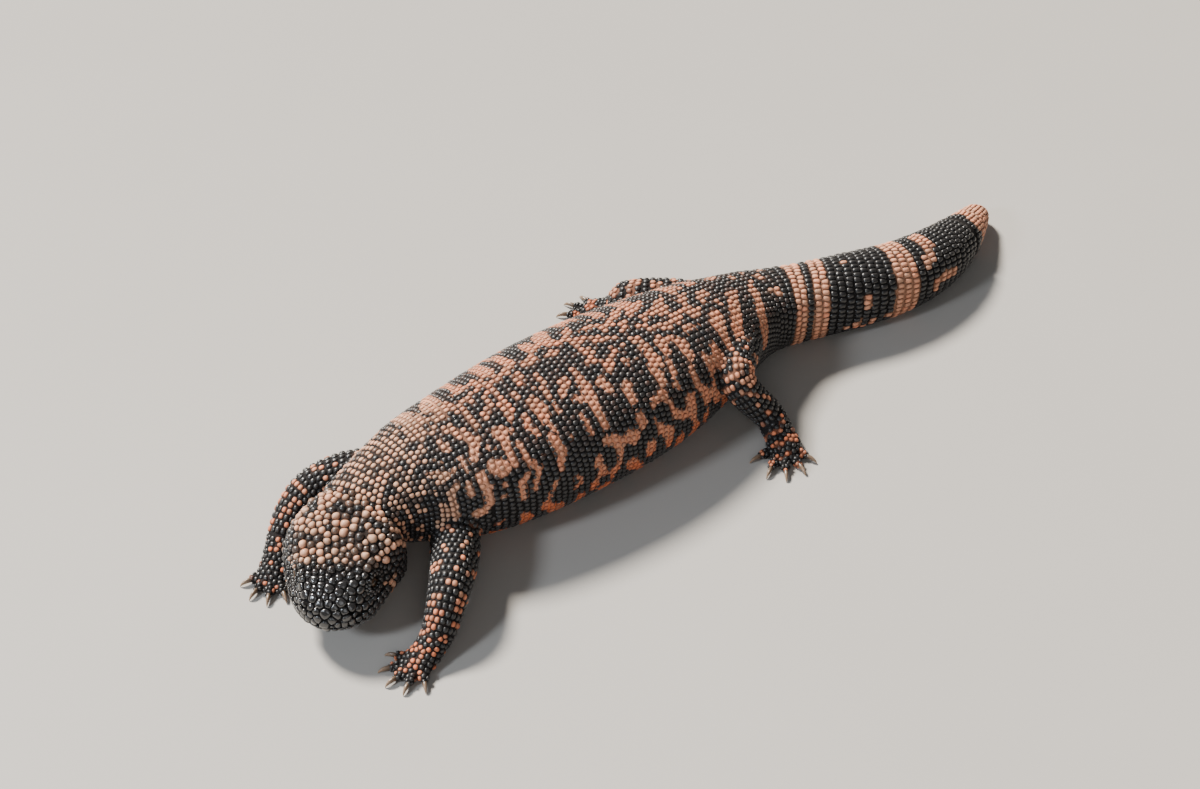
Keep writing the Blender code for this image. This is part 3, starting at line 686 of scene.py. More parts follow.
# Patches before and on the tail, in the same numbers: slanting side stripes, a half ring and loose spots
TAIL_PATCHES = (
    ((283, 84, 5.5), (276, 68, 6.5), (267, 45, 8.0), (263, 20, 7.0)),
    ((298, 84, 5.0), (291, 51, 6.0), (288, 30, 7.0), (286, 8, 6.5)),
    ((309, 72, 3.4), (314, 66, 4.6)),
    ((314, 118, 3.6),), ((303, 118, 3.8),),
    ((306, 102, 3.2), (311, 96, 3.0)), ((295, 107, 4.4),), ((300, 92, 2.8),),
    ((284, 116, 5.0), (289, 124, 4.0)),
    ((300, 150, 5.0), (303, 178, 6.5), (300, 200, 6.0)),
    ((284, 150, 6.0), (280, 178, 7.0), (284, 200, 5.0)),
    ((411, 112, 8.5), (410, 86, 8.0), (406, 60, 6.0), (402, 46, 5.0)),
    ((361, -16, 4.5), (362, -32, 5.0)), ((369, -22, 4.5),), ((376, -20, 4.0),),
    ((364, 22, 3.6), (365, 8, 3.4)),
    ((352, -24, 3.4),),
    ((407, 2, 6.0), (413, 8, 7.0), (420, 4, 5.5)),
    ((357, 96, 2.6),), ((366, 198, 4.5), (372, 188, 4.0)), ((420, 170, 7.0), (414, 188, 6.0)),
)


# What a point far outside every patch counts as
FAR_OUTSIDE = -9.0


def inside_patches(points, patches):
    """How far inside the nearest traced patch each point lies: half the patch's width less the distance."""
    best = np.full(len(points), FAR_OUTSIDE)
    for corners in patches:
        s, degrees, width = np.array(corners, float).T
        line = hide(s, np.radians(degrees), grow=-COAT)
        for k in range(max(len(line) - 1, 1)):
            end = min(k + 1, len(line) - 1)
            along = line[end] - line[k]
            share = np.clip((points - line[k]) @ along / max(along @ along, 1e-6), 0, 1)
            away = length(points - line[k] - share[:, None] * along)
            best = np.maximum(best, (width[k] + (width[end] - width[k]) * share) / 2 - away)
    return best


def bands(s, edges, soft):
    """1 inside any of the stretches and 0 outside, with soft edges."""
    return sum(ramp(s, a - soft, a + soft) * (1 - ramp(s, b - soft, b + soft)) for a, b in edges)


def body_cover(s, theta):
    """On the body: pink share, a bead's own chance, warmth of the pink, how far a bead keeps one colour."""
    lift = lift_angle(theta)
    wide = 27 * (1 - ramp(s, 46, 64))
    top, low = ramp(lift, 52 - wide, 70 - wide), 1 - ramp(lift, -58, -28)
    cover = top * np.interp(s, *COVER_TOP) + (1 - top) * np.interp(s, *COVER_SIDE)
    cover = cover * (1 - low) + 0.45 * low * ramp(s, 20, 45)
    chance = top * np.interp(s, *CHANCE_TOP) + (1 - top) * np.interp(s, *CHANCE_SIDE)
    warmth = 0.1 + 0.43 * ramp(s, 80, 135) - 0.27 * ramp(s, 280, 335)
    # Painted light: pink on the lower flank is warmed to orange, as by warm light reflected from the ground.
    warmth += 0.6 * (1 - ramp(lift, -30, 10)) * ramp(s, 60, 120) * (1 - ramp(s, 285, 330))
    smooth = (1 - ramp(lift, 60, 84)) * ramp(s, 76, 100) * (1 - ramp(s, 292, 312))
    return cover, chance, np.clip(warmth, 0, 1), 1 - smooth


# Where the traced patches of the left side stand in for the field: their stretch of s with its soft ends, and
# the angles in degrees, by s, between which they fade in from below and fade out on the back
TRACED_START, TRACED_STOP = (70, 84), (226, 236)
TRACED_LOW = ((70, 150, 172, 230), (-14, -6, 30, 46))
TRACED_HIGH = (80, 108, 125), (72, 84, 97), (86, 98, 106)
# Where the field may add to the traced patches, by s and by angle
LOOSE = (176, 188), (46, 58)
# Where the tail's rings start and where the rump's patches do: on the left, farther back for each degree of
# lift, and past an angle of 100 degrees
RINGS_START = (316, 319)
RUMP_START, RUMP_LEAN, RUMP_RIGHT = 248, 0.25, 276
TAIL_PATCHES_FROM = 245
MUZZLE_BLACK = (18, 26)


def traced_patches(at, s, lift, degrees, value, edge):
    """Share of the traced patches at each point, and how pink they are there."""
    low = np.interp(s, *TRACED_LOW)
    traced = ramp(s, *TRACED_START) * (1 - ramp(s, *TRACED_STOP)) * ramp(degrees, low - 5, low + 5)
    places, first, last = TRACED_HIGH
    traced *= 1 - ramp(degrees, np.interp(s, places, first), np.interp(s, places, last))
    known = traced > 0
    inside = np.full(len(s), FAR_OUTSIDE)
    inside[known] = inside_patches(at[known], PATCHES)
    loose = ramp(s, *LOOSE[0]) * ramp(degrees, *LOOSE[1])
    drawn = 0.5 * np.maximum(inside, -2) + 0.12 * edge
    return traced, np.maximum(drawn, value - 0.55 - 2 * (1 - loose))


def tail_marks(at, centres, s, theta, lift, degrees, small, chance_draw):
    """Shares of the rump and the tail at each point, and how pink each is there: loose spots, and rings."""
    slant = s - lean(s, theta) + 0.7 * field(centres, BACK_WAVES)
    ring = np.where(bands(slant, TAIL_RINGS, 0.3) > 0.5, 1.3, -1.3)
    on_tail = ramp(s, *RINGS_START)
    start = np.where(degrees < 100, RUMP_START + RUMP_LEAN * np.maximum(lift, 0), RUMP_RIGHT)
    on_rump = ramp(s, start, start + 8) * (1 - on_tail)
    behind = s > TAIL_PATCHES_FROM
    inside = np.full(len(s), FAR_OUTSIDE)
    inside[behind] = inside_patches(at[behind], TAIL_PATCHES)
    spots = 0.5 * np.maximum(inside, -2)
    tail = np.maximum(ring, spots) + 0.22 * chance_draw + 0.12 * small
    return on_rump, np.maximum(spots, -1), on_tail, tail


def markings(points, centres, s, theta, leg, chance_draw):
    """How pink each point is, from 0 to 1. A bead's own points pass its centre, so that it keeps one colour.

    The patches are a field of waves over a level that gives the wanted share. Traced patches stand in for it
    on the left side, where they are known, and join the rings on the tail.
    """
    lift, degrees = lift_angle(theta), (np.degrees(theta) + 90) % 360 - 90
    cover, chance, warmth, lock = body_cover(s, theta)
    at = points + (centres - points) * lock[:, None]
    top = ramp(lift, 58, 76)
    patch = (field(at, FLANK_WAVES) * (1 - top) + field(at, BACK_WAVES) * top) / np.hypot(top, 1 - top)
    small, edge = field(centres, SMALL_WAVES), field(at, EDGE_WAVES)
    head = 1 - ramp(s, 60, 95)
    patch = patch * (1 - head) + small * head
    value = (patch + chance * chance_draw) / np.sqrt(1 + chance**2) - 1.33 * (1 - 2 * cover) + 0.12 * edge
    traced, drawn = traced_patches(at, s, lift, degrees, value, edge)
    value = value * (1 - traced) + drawn * traced
    on_rump, rump, on_tail, tail = tail_marks(at, centres, s, theta, lift, degrees, small, chance_draw)
    value = value * (1 - on_tail - on_rump) + tail * on_tail + rump * on_rump
    value = value - 3 * (1 - ramp(s + 1.6 * small, *MUZZLE_BLACK))
    leg_value, leg_warmth = leg_cover(centres, small, chance_draw)
    return ramp(np.where(leg, leg_value, value), -0.07, 0.07), np.where(leg, leg_warmth, warmth)


# The paler patches of the feet and knees: middle, reach and added pink
LEG_PATCHES = (
    ((-166, -62, 6), 9.0, 1.3),
    ((-160, 52, 22), 12.0, 1.5),
    ((-172, 44, 14), 8.0, 1.2),
    ((50, -46, 41), 9.5, 1.5),
    ((52, -50, 31), 7.5, 1.3),
    ((-148, -56, 21), 7.5, 1.3),
    ((-155, -61, 12), 6.0, 0.9),
    ((56, 40, 38), 9.0, 1.1),
    ((56, -76, 6), 7.0, 0.8),
    ((56, 62, 6), 8.0, 0.9),
)


def leg_cover(points, small, chance_draw):
    """Pink of the legs: small spots and bands, with paler patches on the knees and feet."""
    value = 0.95 * small + 0.3 * chance_draw - 0.85
    for middle, reach, more in LEG_PATCHES:
        value = value + more * near(length(points - np.array(middle, float)), 0, reach)
    # Painted light: the legs' pink is warmed to orange near the floor, as by warm light reflected from the
    # ground.
    low = 1 - ramp(points[:, 2], 14, 30)
    return value, 0.5 + 0.35 * low


# Where each bead sits


def chosen(points, spacing, rank):
    """Keeps points so that no two are closer than the mean of their spacings: a crowd's lowest rank stays.

    In each round every point that outranks all that it crowds is kept, and those that it crowds are dropped.
    """
    close = np.zeros((len(points), len(points)), bool)
    for part in range(0, len(points), 1000):
        some = slice(part, part + 1000)
        away = length(points[some, None] - points[None])
        close[some] = away < (spacing[some, None] + spacing[None]) / 2
    np.fill_diagonal(close, False)
    open_points, kept = np.ones(len(points), bool), np.zeros(len(points), bool)
    while open_points.any():
        rivals = np.where(close & open_points[None], rank[None], np.inf).min(axis=1)
        won = open_points & (rank < rivals)
        kept |= won
        open_points &= ~(won | close[:, won].any(axis=1))
    return kept


class Hide:
    """The finished hide, with a search tree, for setting beads on its surface."""

    def __init__(self, points, triangles):
        self.points, self.triangles = points, triangles
        self.normals = point_normals(points, triangles)
        self.tree = BVHTree.FromPolygons(points.tolist(), triangles.tolist())

    def snapped(self, points):
        """Each point moved to the nearest place of the hide, with the smooth normal there."""
        found = [self.tree.find_nearest(point) for point in points.tolist()]
        places = np.array([hit[0] for hit in found])
        faces = np.array([hit[2] for hit in found])
        return places, unit(self.normals[self.triangles[faces]].mean(axis=1))


def pushed_apart(surface, places, spacing, fixed, beside, gain, rounds):
    """Places on the hide pushed apart by a gain, each by those in its row of beside, towards one spacing."""
    wanted = (spacing[:, None] + spacing[beside]) / 2
    for _ in range(rounds):
        apart = places[:, None] - places[beside]
        away = length(apart) + 1e-6
        push = np.where((away < wanted) & (away > 1e-3), (wanted - away) / away, 0.0)
        move = (apart * push[..., None]).sum(axis=1) * gain
        move[fixed] = 0
        places, _ = surface.snapped(places + move)
    return places


def settled(surface, places, spacing, fixed, rounds):
    """A few places pushed apart, each by all the others."""
    everyone = np.indices((len(places), len(places)))[1]
    return pushed_apart(surface, places, spacing, fixed, everyone, 0.22, rounds)


def row_of_beads(theta, points, spacing, shift):
    """Angles of eight or more beads, one spacing apart, read off the running sum of 1 / spacing."""
    run = np.r_[0, np.cumsum(length(np.diff(points, axis=0)) * 2 / (spacing[1:] + spacing[:-1]))]
    count = max(int(round(run[-1])), 8)
    return np.interp((np.arange(count) + shift) / count * run[-1], run, theta)


# Widths of beads by s: on the body's back, flank and belly, and on the head's crown, side and chin
BACK_WIDTHS = ((57, 110, 130, 300, 330, 450, 487), (3.15, 3.2, 3.4, 3.4, 3.05, 2.9, 2.5))
FLANK_WIDTHS = ((57, 82, 120, 290, 330, 450, 487), (2.9, 2.8, 2.75, 2.9, 3.05, 2.9, 2.5))
BELLY_WIDTHS = ((57, 95, 120, 290, 330, 450, 487), (3.2, 4.2, 5.0, 5.0, 4.2, 3.8, 2.6))
CROWN_WIDTHS = ((0, 6, 14, 22, 40, 60), (4.0, 4.2, 3.5, 3.35, 3.45, 3.2))
CHEEK_WIDTHS = ((0, 6, 20, 40, 60), (3.4, 3.2, 2.9, 3.2, 3.3))
CHIN_WIDTHS = ((0, 6, 20, 60), (3.4, 3.0, 2.9, 3.1))


def back_and_belly(lift):
    """Shares of the back, above the flank, and of the belly, below it, at a lift in degrees."""
    return ramp(lift, 45, 68), 1 - ramp(lift, -48, -34)


def in_thirds(s, top, low, above, middle, below):
    """A number read off three tables by s: above where top is 1, below where low is 1, and middle between."""
    sides = np.interp(s, *above) * top + np.interp(s, *middle) * (1 - top)
    return sides * (1 - low) + np.interp(s, *below) * low


def trunk_spacing(s, theta):
    """Distance between beads round the body: wide plates below, small granules in the fold of the flank."""
    return in_thirds(s, *back_and_belly(lift_angle(theta)), BACK_WIDTHS, FLANK_WIDTHS, BELLY_WIDTHS)


def lean(s, theta):
    """How far back the rings of the tail lie on the right side: less than nothing on the left."""
    return -np.interp(s, (TORSO_END, 332, 388, 430, 470), (0.0, 5.5, 2.5, 1.5, 0.0)) * np.cos(theta)


def body_rows(start, end, step, seed):
    """s and angle of beads in rings down a length of the body, every other ring shifted by half a bead."""
    draw = np.random.default_rng(seed)
    fine = np.linspace(-math.pi / 2, 1.5 * math.pi, 361)
    all_s, all_theta = [], []
    for i, s in enumerate(np.arange(start, end, step)):
        points = hide(s, fine)
        spacing = trunk_spacing(np.full(len(fine), s), fine)
        theta = row_of_beads(fine, points, spacing, 0.5 * (i % 2) + 0.25)
        all_s.append(s + lean(s, theta) + draw.normal(0, 0.055 * step, len(theta)))
        all_theta.append(theta + draw.normal(0, 0.006, len(theta)))
    return np.concatenate(all_s), np.concatenate(all_theta)


def head_spacing(s, theta, points):
    """Width of the head's beads: large on crown and snout, small on lips, cheeks and round the eyes."""
    lift = lift_angle(theta)
    top, low = ramp(lift, 26, 46), 1 - ramp(lift, -32, -14)
    size = in_thirds(s, top, low, CROWN_WIDTHS, CHEEK_WIDTHS, CHIN_WIDTHS)
    for eye, _, ear in from_openings(points):
        size = size * (0.62 + 0.38 * ramp(eye, 4.5, 8.5))
        size = size * (0.7 + 0.3 * ramp(ear, 1.5, 2.6))
    return size


def openings_clear(s, points):
    """True where the head has hide to carry a bead: off the mouth line, eyes, nostrils and ears."""
    clear = (np.abs(rise_over_midline(s, points)) > 1.0) | (s > MOUTH_END)
    for away in from_openings(points):
        for distance, reach in zip(away, BARE_REACH):
            clear &= distance > reach
    return clear


def lip_row(rise, width):
    """Places of one lip's plates, from the front middle back to the corner of the mouth on both sides."""
    s = np.r_[np.linspace(0.3, 2, 30), np.linspace(2.05, MOUTH_END + 1, 300)]
    theta = theta_at_rise(s, np.full(len(s), rise))
    run = run_along(hide(s, theta))
    at = np.arange(width * 1.25, run[-1], width)
    s, theta = np.interp(at, run, s), np.interp(at, run, theta)
    front = math.pi / 2 if rise > 0 else -math.pi / 2
    return np.r_[0.3, s, s], np.r_[front, theta, math.pi - theta]


def eye_ring(distance, count, shift):
    """Places of granules on the lids: ovals about each eye."""
    flat = compass(circle(count, shift)) * distance * np.array(EYE_STRETCH)
    eyes = [head_place(EYE_AT, right_side) for right_side in (False, True)]
    return np.vstack([place + flat @ axes[:2] for place, axes in eyes])


# The large plates on the tip of the snout: s, angle in degrees and width
SNOUT_PLATES = (
    (3.0, 90, 5.2), (8.0, 68, 4.6), (8.0, 112, 4.6), (12.8, 90, 4.4), (13.5, 62, 3.8), (13.5, 118, 3.8),
)
# Plates of the lips, and of their front middle, and rings of the lids: distance, count, shift and width
LIP_WIDTH = 3.3
FRONT_LIP_WIDTH = 4.8
LID_RINGS = ((3.35, 14, 0.0, 1.55), (4.85, 15, 0.5, 2.1))


def head_beads(surface):
    """Plates of the lips, granules of the lids, and beads scattered over the rest and settled."""
    upper, lower = lip_row(LIP_RISE, LIP_WIDTH), lip_row(-LIP_RISE, LIP_WIDTH)
    lids = [eye_ring(*ring[:3]) for ring in LID_RINGS]
    large = np.array(SNOUT_PLATES, float)
    plates = np.vstack([hide(*upper), hide(*lower), *lids, hide(large[:, 0], np.radians(large[:, 1]))])
    lips = np.full(len(upper[0]) + len(lower[0]), LIP_WIDTH)
    lips[[0, len(upper[0])]] = FRONT_LIP_WIDTH
    size = np.r_[lips, np.repeat([ring[3] for ring in LID_RINGS], [len(lid) for lid in lids]), large[:, 2]]
    draw = np.random.default_rng(HEAD_SEED)
    rows, turns = np.arange(0.6, HEAD_END + 1.5, 0.85), np.linspace(-math.pi, math.pi, 150)
    s, theta = np.meshgrid(rows, turns, indexing="ij")
    s = s.ravel() + draw.uniform(-0.4, 0.4, s.size)
    theta = theta.ravel() + draw.uniform(-0.02, 0.02, s.size)
    points = hide(s, theta)
    clear = openings_clear(s, points)
    points, s, theta = points[clear], s[clear], theta[clear]
    uneven = 1 + draw.uniform(-0.24, 0.26, len(points)) * ramp(lift_angle(theta), 0, 40)
    points = np.vstack([plates, points])
    fixed = np.arange(len(points)) < len(plates)
    spacing = np.r_[size, head_spacing(s, theta, points[~fixed]) * uneven]
    rank = np.r_[np.arange(len(plates)) * 1e-6, 1 + draw.uniform(0, 1, len(s))]
    kept = chosen(points, spacing * np.where(fixed, PLATE_CROWDING, SCATTER_CROWDING), rank)
    fixed, spacing = fixed[kept], spacing[kept]
    places, _ = surface.snapped(points[kept])
    return settled(surface, places, spacing * 1.04, fixed, 24), spacing, fixed


# Rings of a leg: first and last distance from its ends, step, and width of its beads above and below a radius
LEG_START, LEG_END, LEG_STEP = 8, 1, 3.0
LEG_WIDTHS = (3.15, 2.9)
THICK_LEG = 9
LEG_SPACING = 3.05
# Granules of a foot: how high and far out they reach, how many places are tried, and their widths
FOOT_HEIGHT, FOOT_REACH, PALM_REACH = 17, 30, 8
FOOT_TRIES = 3200
PALM_WIDTH, TOE_NARROWING = 2.5, 0.55
FOOT_MIDDLE = 3.6


def foot_middle(key):
    """The point of a foot that its granules are measured from."""
    return np.array([*FEET[key][1], FOOT_MIDDLE])


def leg_beads(key):
    """Rings of beads down a leg to its ankle, every other ring shifted by half a bead."""
    knots = LEGS[key]
    draw = np.random.default_rng(LEG_SEED + key.endswith("right"))
    found = []
    for i, t in enumerate(np.arange(LEG_START, leg_arc(knots)[-1] - LEG_END, LEG_STEP)):
        places, _, side, up = leg_sections(knots, np.array([t]))
        radius = places[0, 3]
        count = int(round(2 * math.pi * radius / LEG_WIDTHS[0 if radius > THICK_LEG else 1]))
        turn = (np.arange(count) + 0.5 * (i % 2) + draw.normal(0, 0.05, count)) * 2 * math.pi / count
        away = np.cos(turn)[:, None] * side[0] + np.sin(turn)[:, None] * up[0]
        found.append(places[0, :3] + radius * away)
    return np.vstack(found)


def foot_beads(key, surface):
    """Granules scattered over a foot past its ankle and settled: larger on the palm, smaller on the toes."""
    knots = LEGS[key]
    palm, points = foot_middle(key), surface.points
    down = leg_sections(knots, leg_arc(knots)[-1:])[1][0]
    near_foot = (points[:, 2] < FOOT_HEIGHT) & (length(points - palm) < FOOT_REACH)
    past_ankle = (points - np.array(knots[-1][:3], float)) @ down > -0.5
    on_palm = length((points - palm)[:, :2]) < PALM_REACH
    points = points[near_foot & (past_ankle | on_palm)]
    points = points[place_on_body(points)[2] > 2.5]
    draw = np.random.default_rng(FOOT_SEED + key.endswith("right"))
    points = points[draw.permutation(len(points))[:FOOT_TRIES]]
    spacing = PALM_WIDTH - TOE_NARROWING * ramp(length((points - palm)[:, :2]), PALM_REACH, 14)
    kept = chosen(points, spacing * SCATTER_CROWDING, draw.uniform(0, 1, len(points)))
    places, spacing = points[kept], spacing[kept]
    return settled(surface, places, spacing * 1.03, np.zeros(len(places), bool), 12), spacing


# Rings of beads that close the tip of the tail: distance from its end, and count
TIP_RINGS = ((5.0, 13), (3.0, 11), (1.4, 8), (0.35, 4), (0.02, 1))


def body_tip_beads():
    """Small rings of beads, ever shorter, each turned on a quarter of a bead."""
    s = np.concatenate([np.full(count, LENGTH - from_end) for from_end, count in TIP_RINGS])
    theta = np.concatenate([circle(count, 0.25 * n) for n, (_, count) in enumerate(TIP_RINGS)])
    return hide(s, theta, grow=-COAT)


# Rings of beads down the body: start, end and step of each length, and the farthest a bead moves to the hide
BEAD_LENGTHS = (
    (HEAD_END + 1.2, 112.0, 2.9),
    (112.0, TORSO_END, 3.1),
    (TORSO_END + 2.75, 448.0, 4.5),
    (451.8, 470.0, 3.6),
    (471.5, LENGTH - 6.5, 2.9),
)
MOST_MOVE = 2.6
TIP_SPACING = 2.3
# Where two beads crowd each other, the one of the lower rank stays
RANKS = {"plates": 0.0, "head": 0.5, "body": 0.6, "tip": 0.7, "leg": 0.8, "foot": 0.9}


def gather_beads(surface):
    """All beads: the piece that each belongs to, their places and their spacings."""
    places, spacing, fixed = head_beads(surface)
    sets = [("beads_head", places, spacing, np.where(fixed, RANKS["plates"], RANKS["head"]))]
    for n, (start, end, step) in enumerate(BEAD_LENGTHS):
        s, theta = body_rows(start, end, step, BODY_SEED + n)
        wanted = hide(s, theta, grow=-COAT)
        places, _ = surface.snapped(wanted)
        kept = length(places - wanted) < MOST_MOVE
        sets.append(("body", places[kept], trunk_spacing(s, theta)[kept], RANKS["body"]))
    sets.append(("body", surface.snapped(body_tip_beads())[0], TIP_SPACING, RANKS["tip"]))
    for key in LEGS:
        wanted = leg_beads(key)
        places, _ = surface.snapped(wanted)
        kept = (length(places - wanted) < MOST_MOVE) & (place_on_body(places)[2] > -0.5)
        sets.append(("beads_" + key, places[kept], LEG_SPACING, RANKS["leg"]))
        sets.append(("beads_" + key, *foot_beads(key, surface), RANKS["foot"]))
    names = np.concatenate([np.full(len(row[1]), row[0], dtype=object) for row in sets])
    places = np.vstack([row[1] for row in sets])
    spacing, rank = (np.concatenate([np.broadcast_to(row[k], len(row[1])) for row in sets]) for k in (2, 3))
    kept = chosen(places, spacing * CROWDING, rank + np.arange(len(places)) * 1e-7)
    names, places, spacing = names[kept], places[kept], spacing[kept]
    still = (names == "beads_head") | (spacing > 3.6) | (spacing < 2.6)
    still |= place_on_body(places)[0] > TORSO_END
    return names, pushed_apart(surface, places, spacing, still, neighbours(places), 0.2, 8), spacing


def neighbours(points):
    """Indices of the nearest points of each point."""
    found = np.zeros((len(points), NEIGHBOURS), int)
    squares = (points**2).sum(1)
    for part in range(0, len(points), 500):
        some = slice(part, part + 500)
        away = squares[some, None] + squares[None] - 2 * points[some] @ points.T
        nearest = np.argpartition(away, NEIGHBOURS, axis=1)[:, : NEIGHBOURS + 1]
        order = np.argsort(np.take_along_axis(away, nearest, 1), axis=1)
        found[some] = np.take_along_axis(nearest, order, 1)[:, 1:]
    return found


def outlines(places, across, sideways, spacing, squareness, gap, most):
    """Reach of each bead in each direction.

    Half way to each neighbour stands a wall. The reach is the p-norm of the walls, (sum of
    (cos(a - aj) / hj)^p) to the power -1/p, less half the gap, so that a small p gives round beads and a
    large p gives fitted plates.
    """
    nearest = neighbours(places)
    beside = places[nearest] - places[:, None]
    x, y = np.einsum("nkc,nc->nk", beside, across), np.einsum("nkc,nc->nk", beside, sideways)
    weight = spacing[:, None] / (spacing[:, None] + spacing[nearest])
    wall = length(beside) * weight
    facing = np.maximum(np.cos(TURNS[None, None] - np.arctan2(y, x)[..., None]), 0)
    p = squareness[:, None]
    total = ((facing / wall[..., None]) ** p[..., None]).sum(axis=1) + (1 / (most * spacing)[:, None]) ** p
    return np.maximum(total ** (-1 / p) - gap[:, None] / 2, 0.3)


def bead_points(places, normals, across, sideways, reach, height, m):
    """Points of all beads: rings on the outline, up a dome z / h = (1 - r^m)^(1 / m), and an apex."""
    round_about = np.cos(TURNS)[:, None] * across[:, None] + np.sin(TURNS)[:, None] * sideways[:, None]
    rings = [places[:, None] + round_about * reach[..., None] - normals[:, None] * ROOT_DEPTH]
    for share in RINGS[1:]:
        rise = height * (1 - share**m) ** (1 / m)
        ring = places[:, None] + round_about * (reach * share)[..., None]
        rings.append(ring + (normals * rise[:, None])[:, None])
    apex = (places + normals * height[:, None])[:, None]
    return np.concatenate([*rings, apex], axis=1)


def bead_faces(count):
    """Faces of many beads: bands of quads between rings, a fan at the apex and one flat polygon below."""
    j = np.arange(SIDES)
    after, low = (j + 1) % SIDES, (len(RINGS) - 1) * SIDES
    band = np.stack([j, after, after + SIDES, j + SIDES], 1)
    quads = (np.arange(0, low, SIDES)[:, None, None] + band).reshape(-1, 4)
    fan = np.stack([low + j, low + after, np.full(SIDES, len(RINGS) * SIDES)], 1)
    first = np.arange(count)[:, None, None] * (len(RINGS) * SIDES + 1)
    root = (j[::-1][None] + first[:, 0]).reshape(-1, SIDES)
    return (quads[None] + first).reshape(-1, 4), (fan[None] + first).reshape(-1, 3), root


def unwrap(places, names, s, theta):
    """Place of each bead's root on an unwrap of the hide: the body as a sheet, each leg a strip under it."""
    full = 2 * math.pi
    u = 0.02 + 0.96 * s / LENGTH
    v = 0.43 + 0.55 * ((theta + math.pi / 2) % full) / full
    for n, key in enumerate(LEGS):
        mine = names == "beads_" + key
        knots = LEGS[key]
        t = place_on_leg(places[mine], key)[0]
        middle, _, side, up = leg_sections(knots, t)
        away, foot = places[mine] - middle[:, :3], places[mine] - foot_middle(key)
        turn = np.arctan2(np.sum(away * up, axis=1), np.sum(away * side, axis=1)) + math.pi
        from_ankle = length(places[mine] - np.array(knots[-1][:3], float)) - knots[-1][3]
        past = np.maximum(from_ankle, 0) * (t > t.max() - 1)
        turn = np.where(past > 1, np.arctan2(foot[:, 1], foot[:, 0]) + math.pi, turn)
        u[mine] = 0.02 + 0.24 * n + 0.21 * np.minimum(t + past, 110) / 110
        v[mine] = 0.02 + 0.36 * turn / full
    return np.stack([u, v], 1)


# Pieces of the body's coat, from the neck on, and where each but the last ends
BODY_PIECES = np.array("neck torso_front torso_middle torso_rear tail_base tail_tip".split(), dtype=object)
PIECE_ENDS = (108.0, 175.0, 243.0, TORSO_END, TAIL_PARTING)


def body_piece(s, theta):
    """Name of the coat piece that a bead of the body belongs to."""
    low = lift_angle(theta) < -40
    word = BODY_PIECES[np.searchsorted(PIECE_ENDS, s)]
    return np.where(low & (s > 75) & (s < TORSO_END), "plates_belly", "beads_" + word)


# Shape of a bead: its plain number, and what each zone of the coat adds to it by its share there
BEAD_SHAPE = {
    "squareness": (5.5, {"belly": 8.0, "tail": 3.0, "head": 1.0, "snout": 4.0}),
    "gap": (0.3, {"belly": -0.12, "flank": -0.1, "trunk": -0.04, "tail": 0.07, "head": -0.18, "leg": -0.1}),
    "most_reach": (0.62, {"tail": 0.2, "head": 0.1}),
    "height": (0.33, {"flank": -0.05, "belly": -0.16, "snout": -0.08, "tail": -0.03, "crown": 0.1}),
    "flatness": (2.05, {"belly": 1.4, "snout": 0.9, "tail": 0.15, "crown": -0.2}),
}


def coat_zones(s, lift, leg, head):
    """How far each bead lies in each zone of the coat, from 0 to 1."""
    top, low = back_and_belly(lift)
    tail, snout = ramp(s, 306, 330) * (~leg), head * (1 - ramp(s, 14, 22))
    return {
        "leg": leg,
        "head": head,
        "tail": tail,
        "snout": snout,
        "belly": low * (~leg) * (~head),
        "flank": (1 - top) * ramp(s, 70, 100) * (1 - tail) * (~leg),
        "trunk": ramp(s, 95, 118) * (~leg),
        "crown": head * ramp(lift, 20, 40) * (1 - snout),
    }


def bead_shape(word, zones):
    """One number of each bead's shape."""
    number, added = BEAD_SHAPE[word]
    for zone, more in added.items():
        number = number + more * zones[zone]
    return number


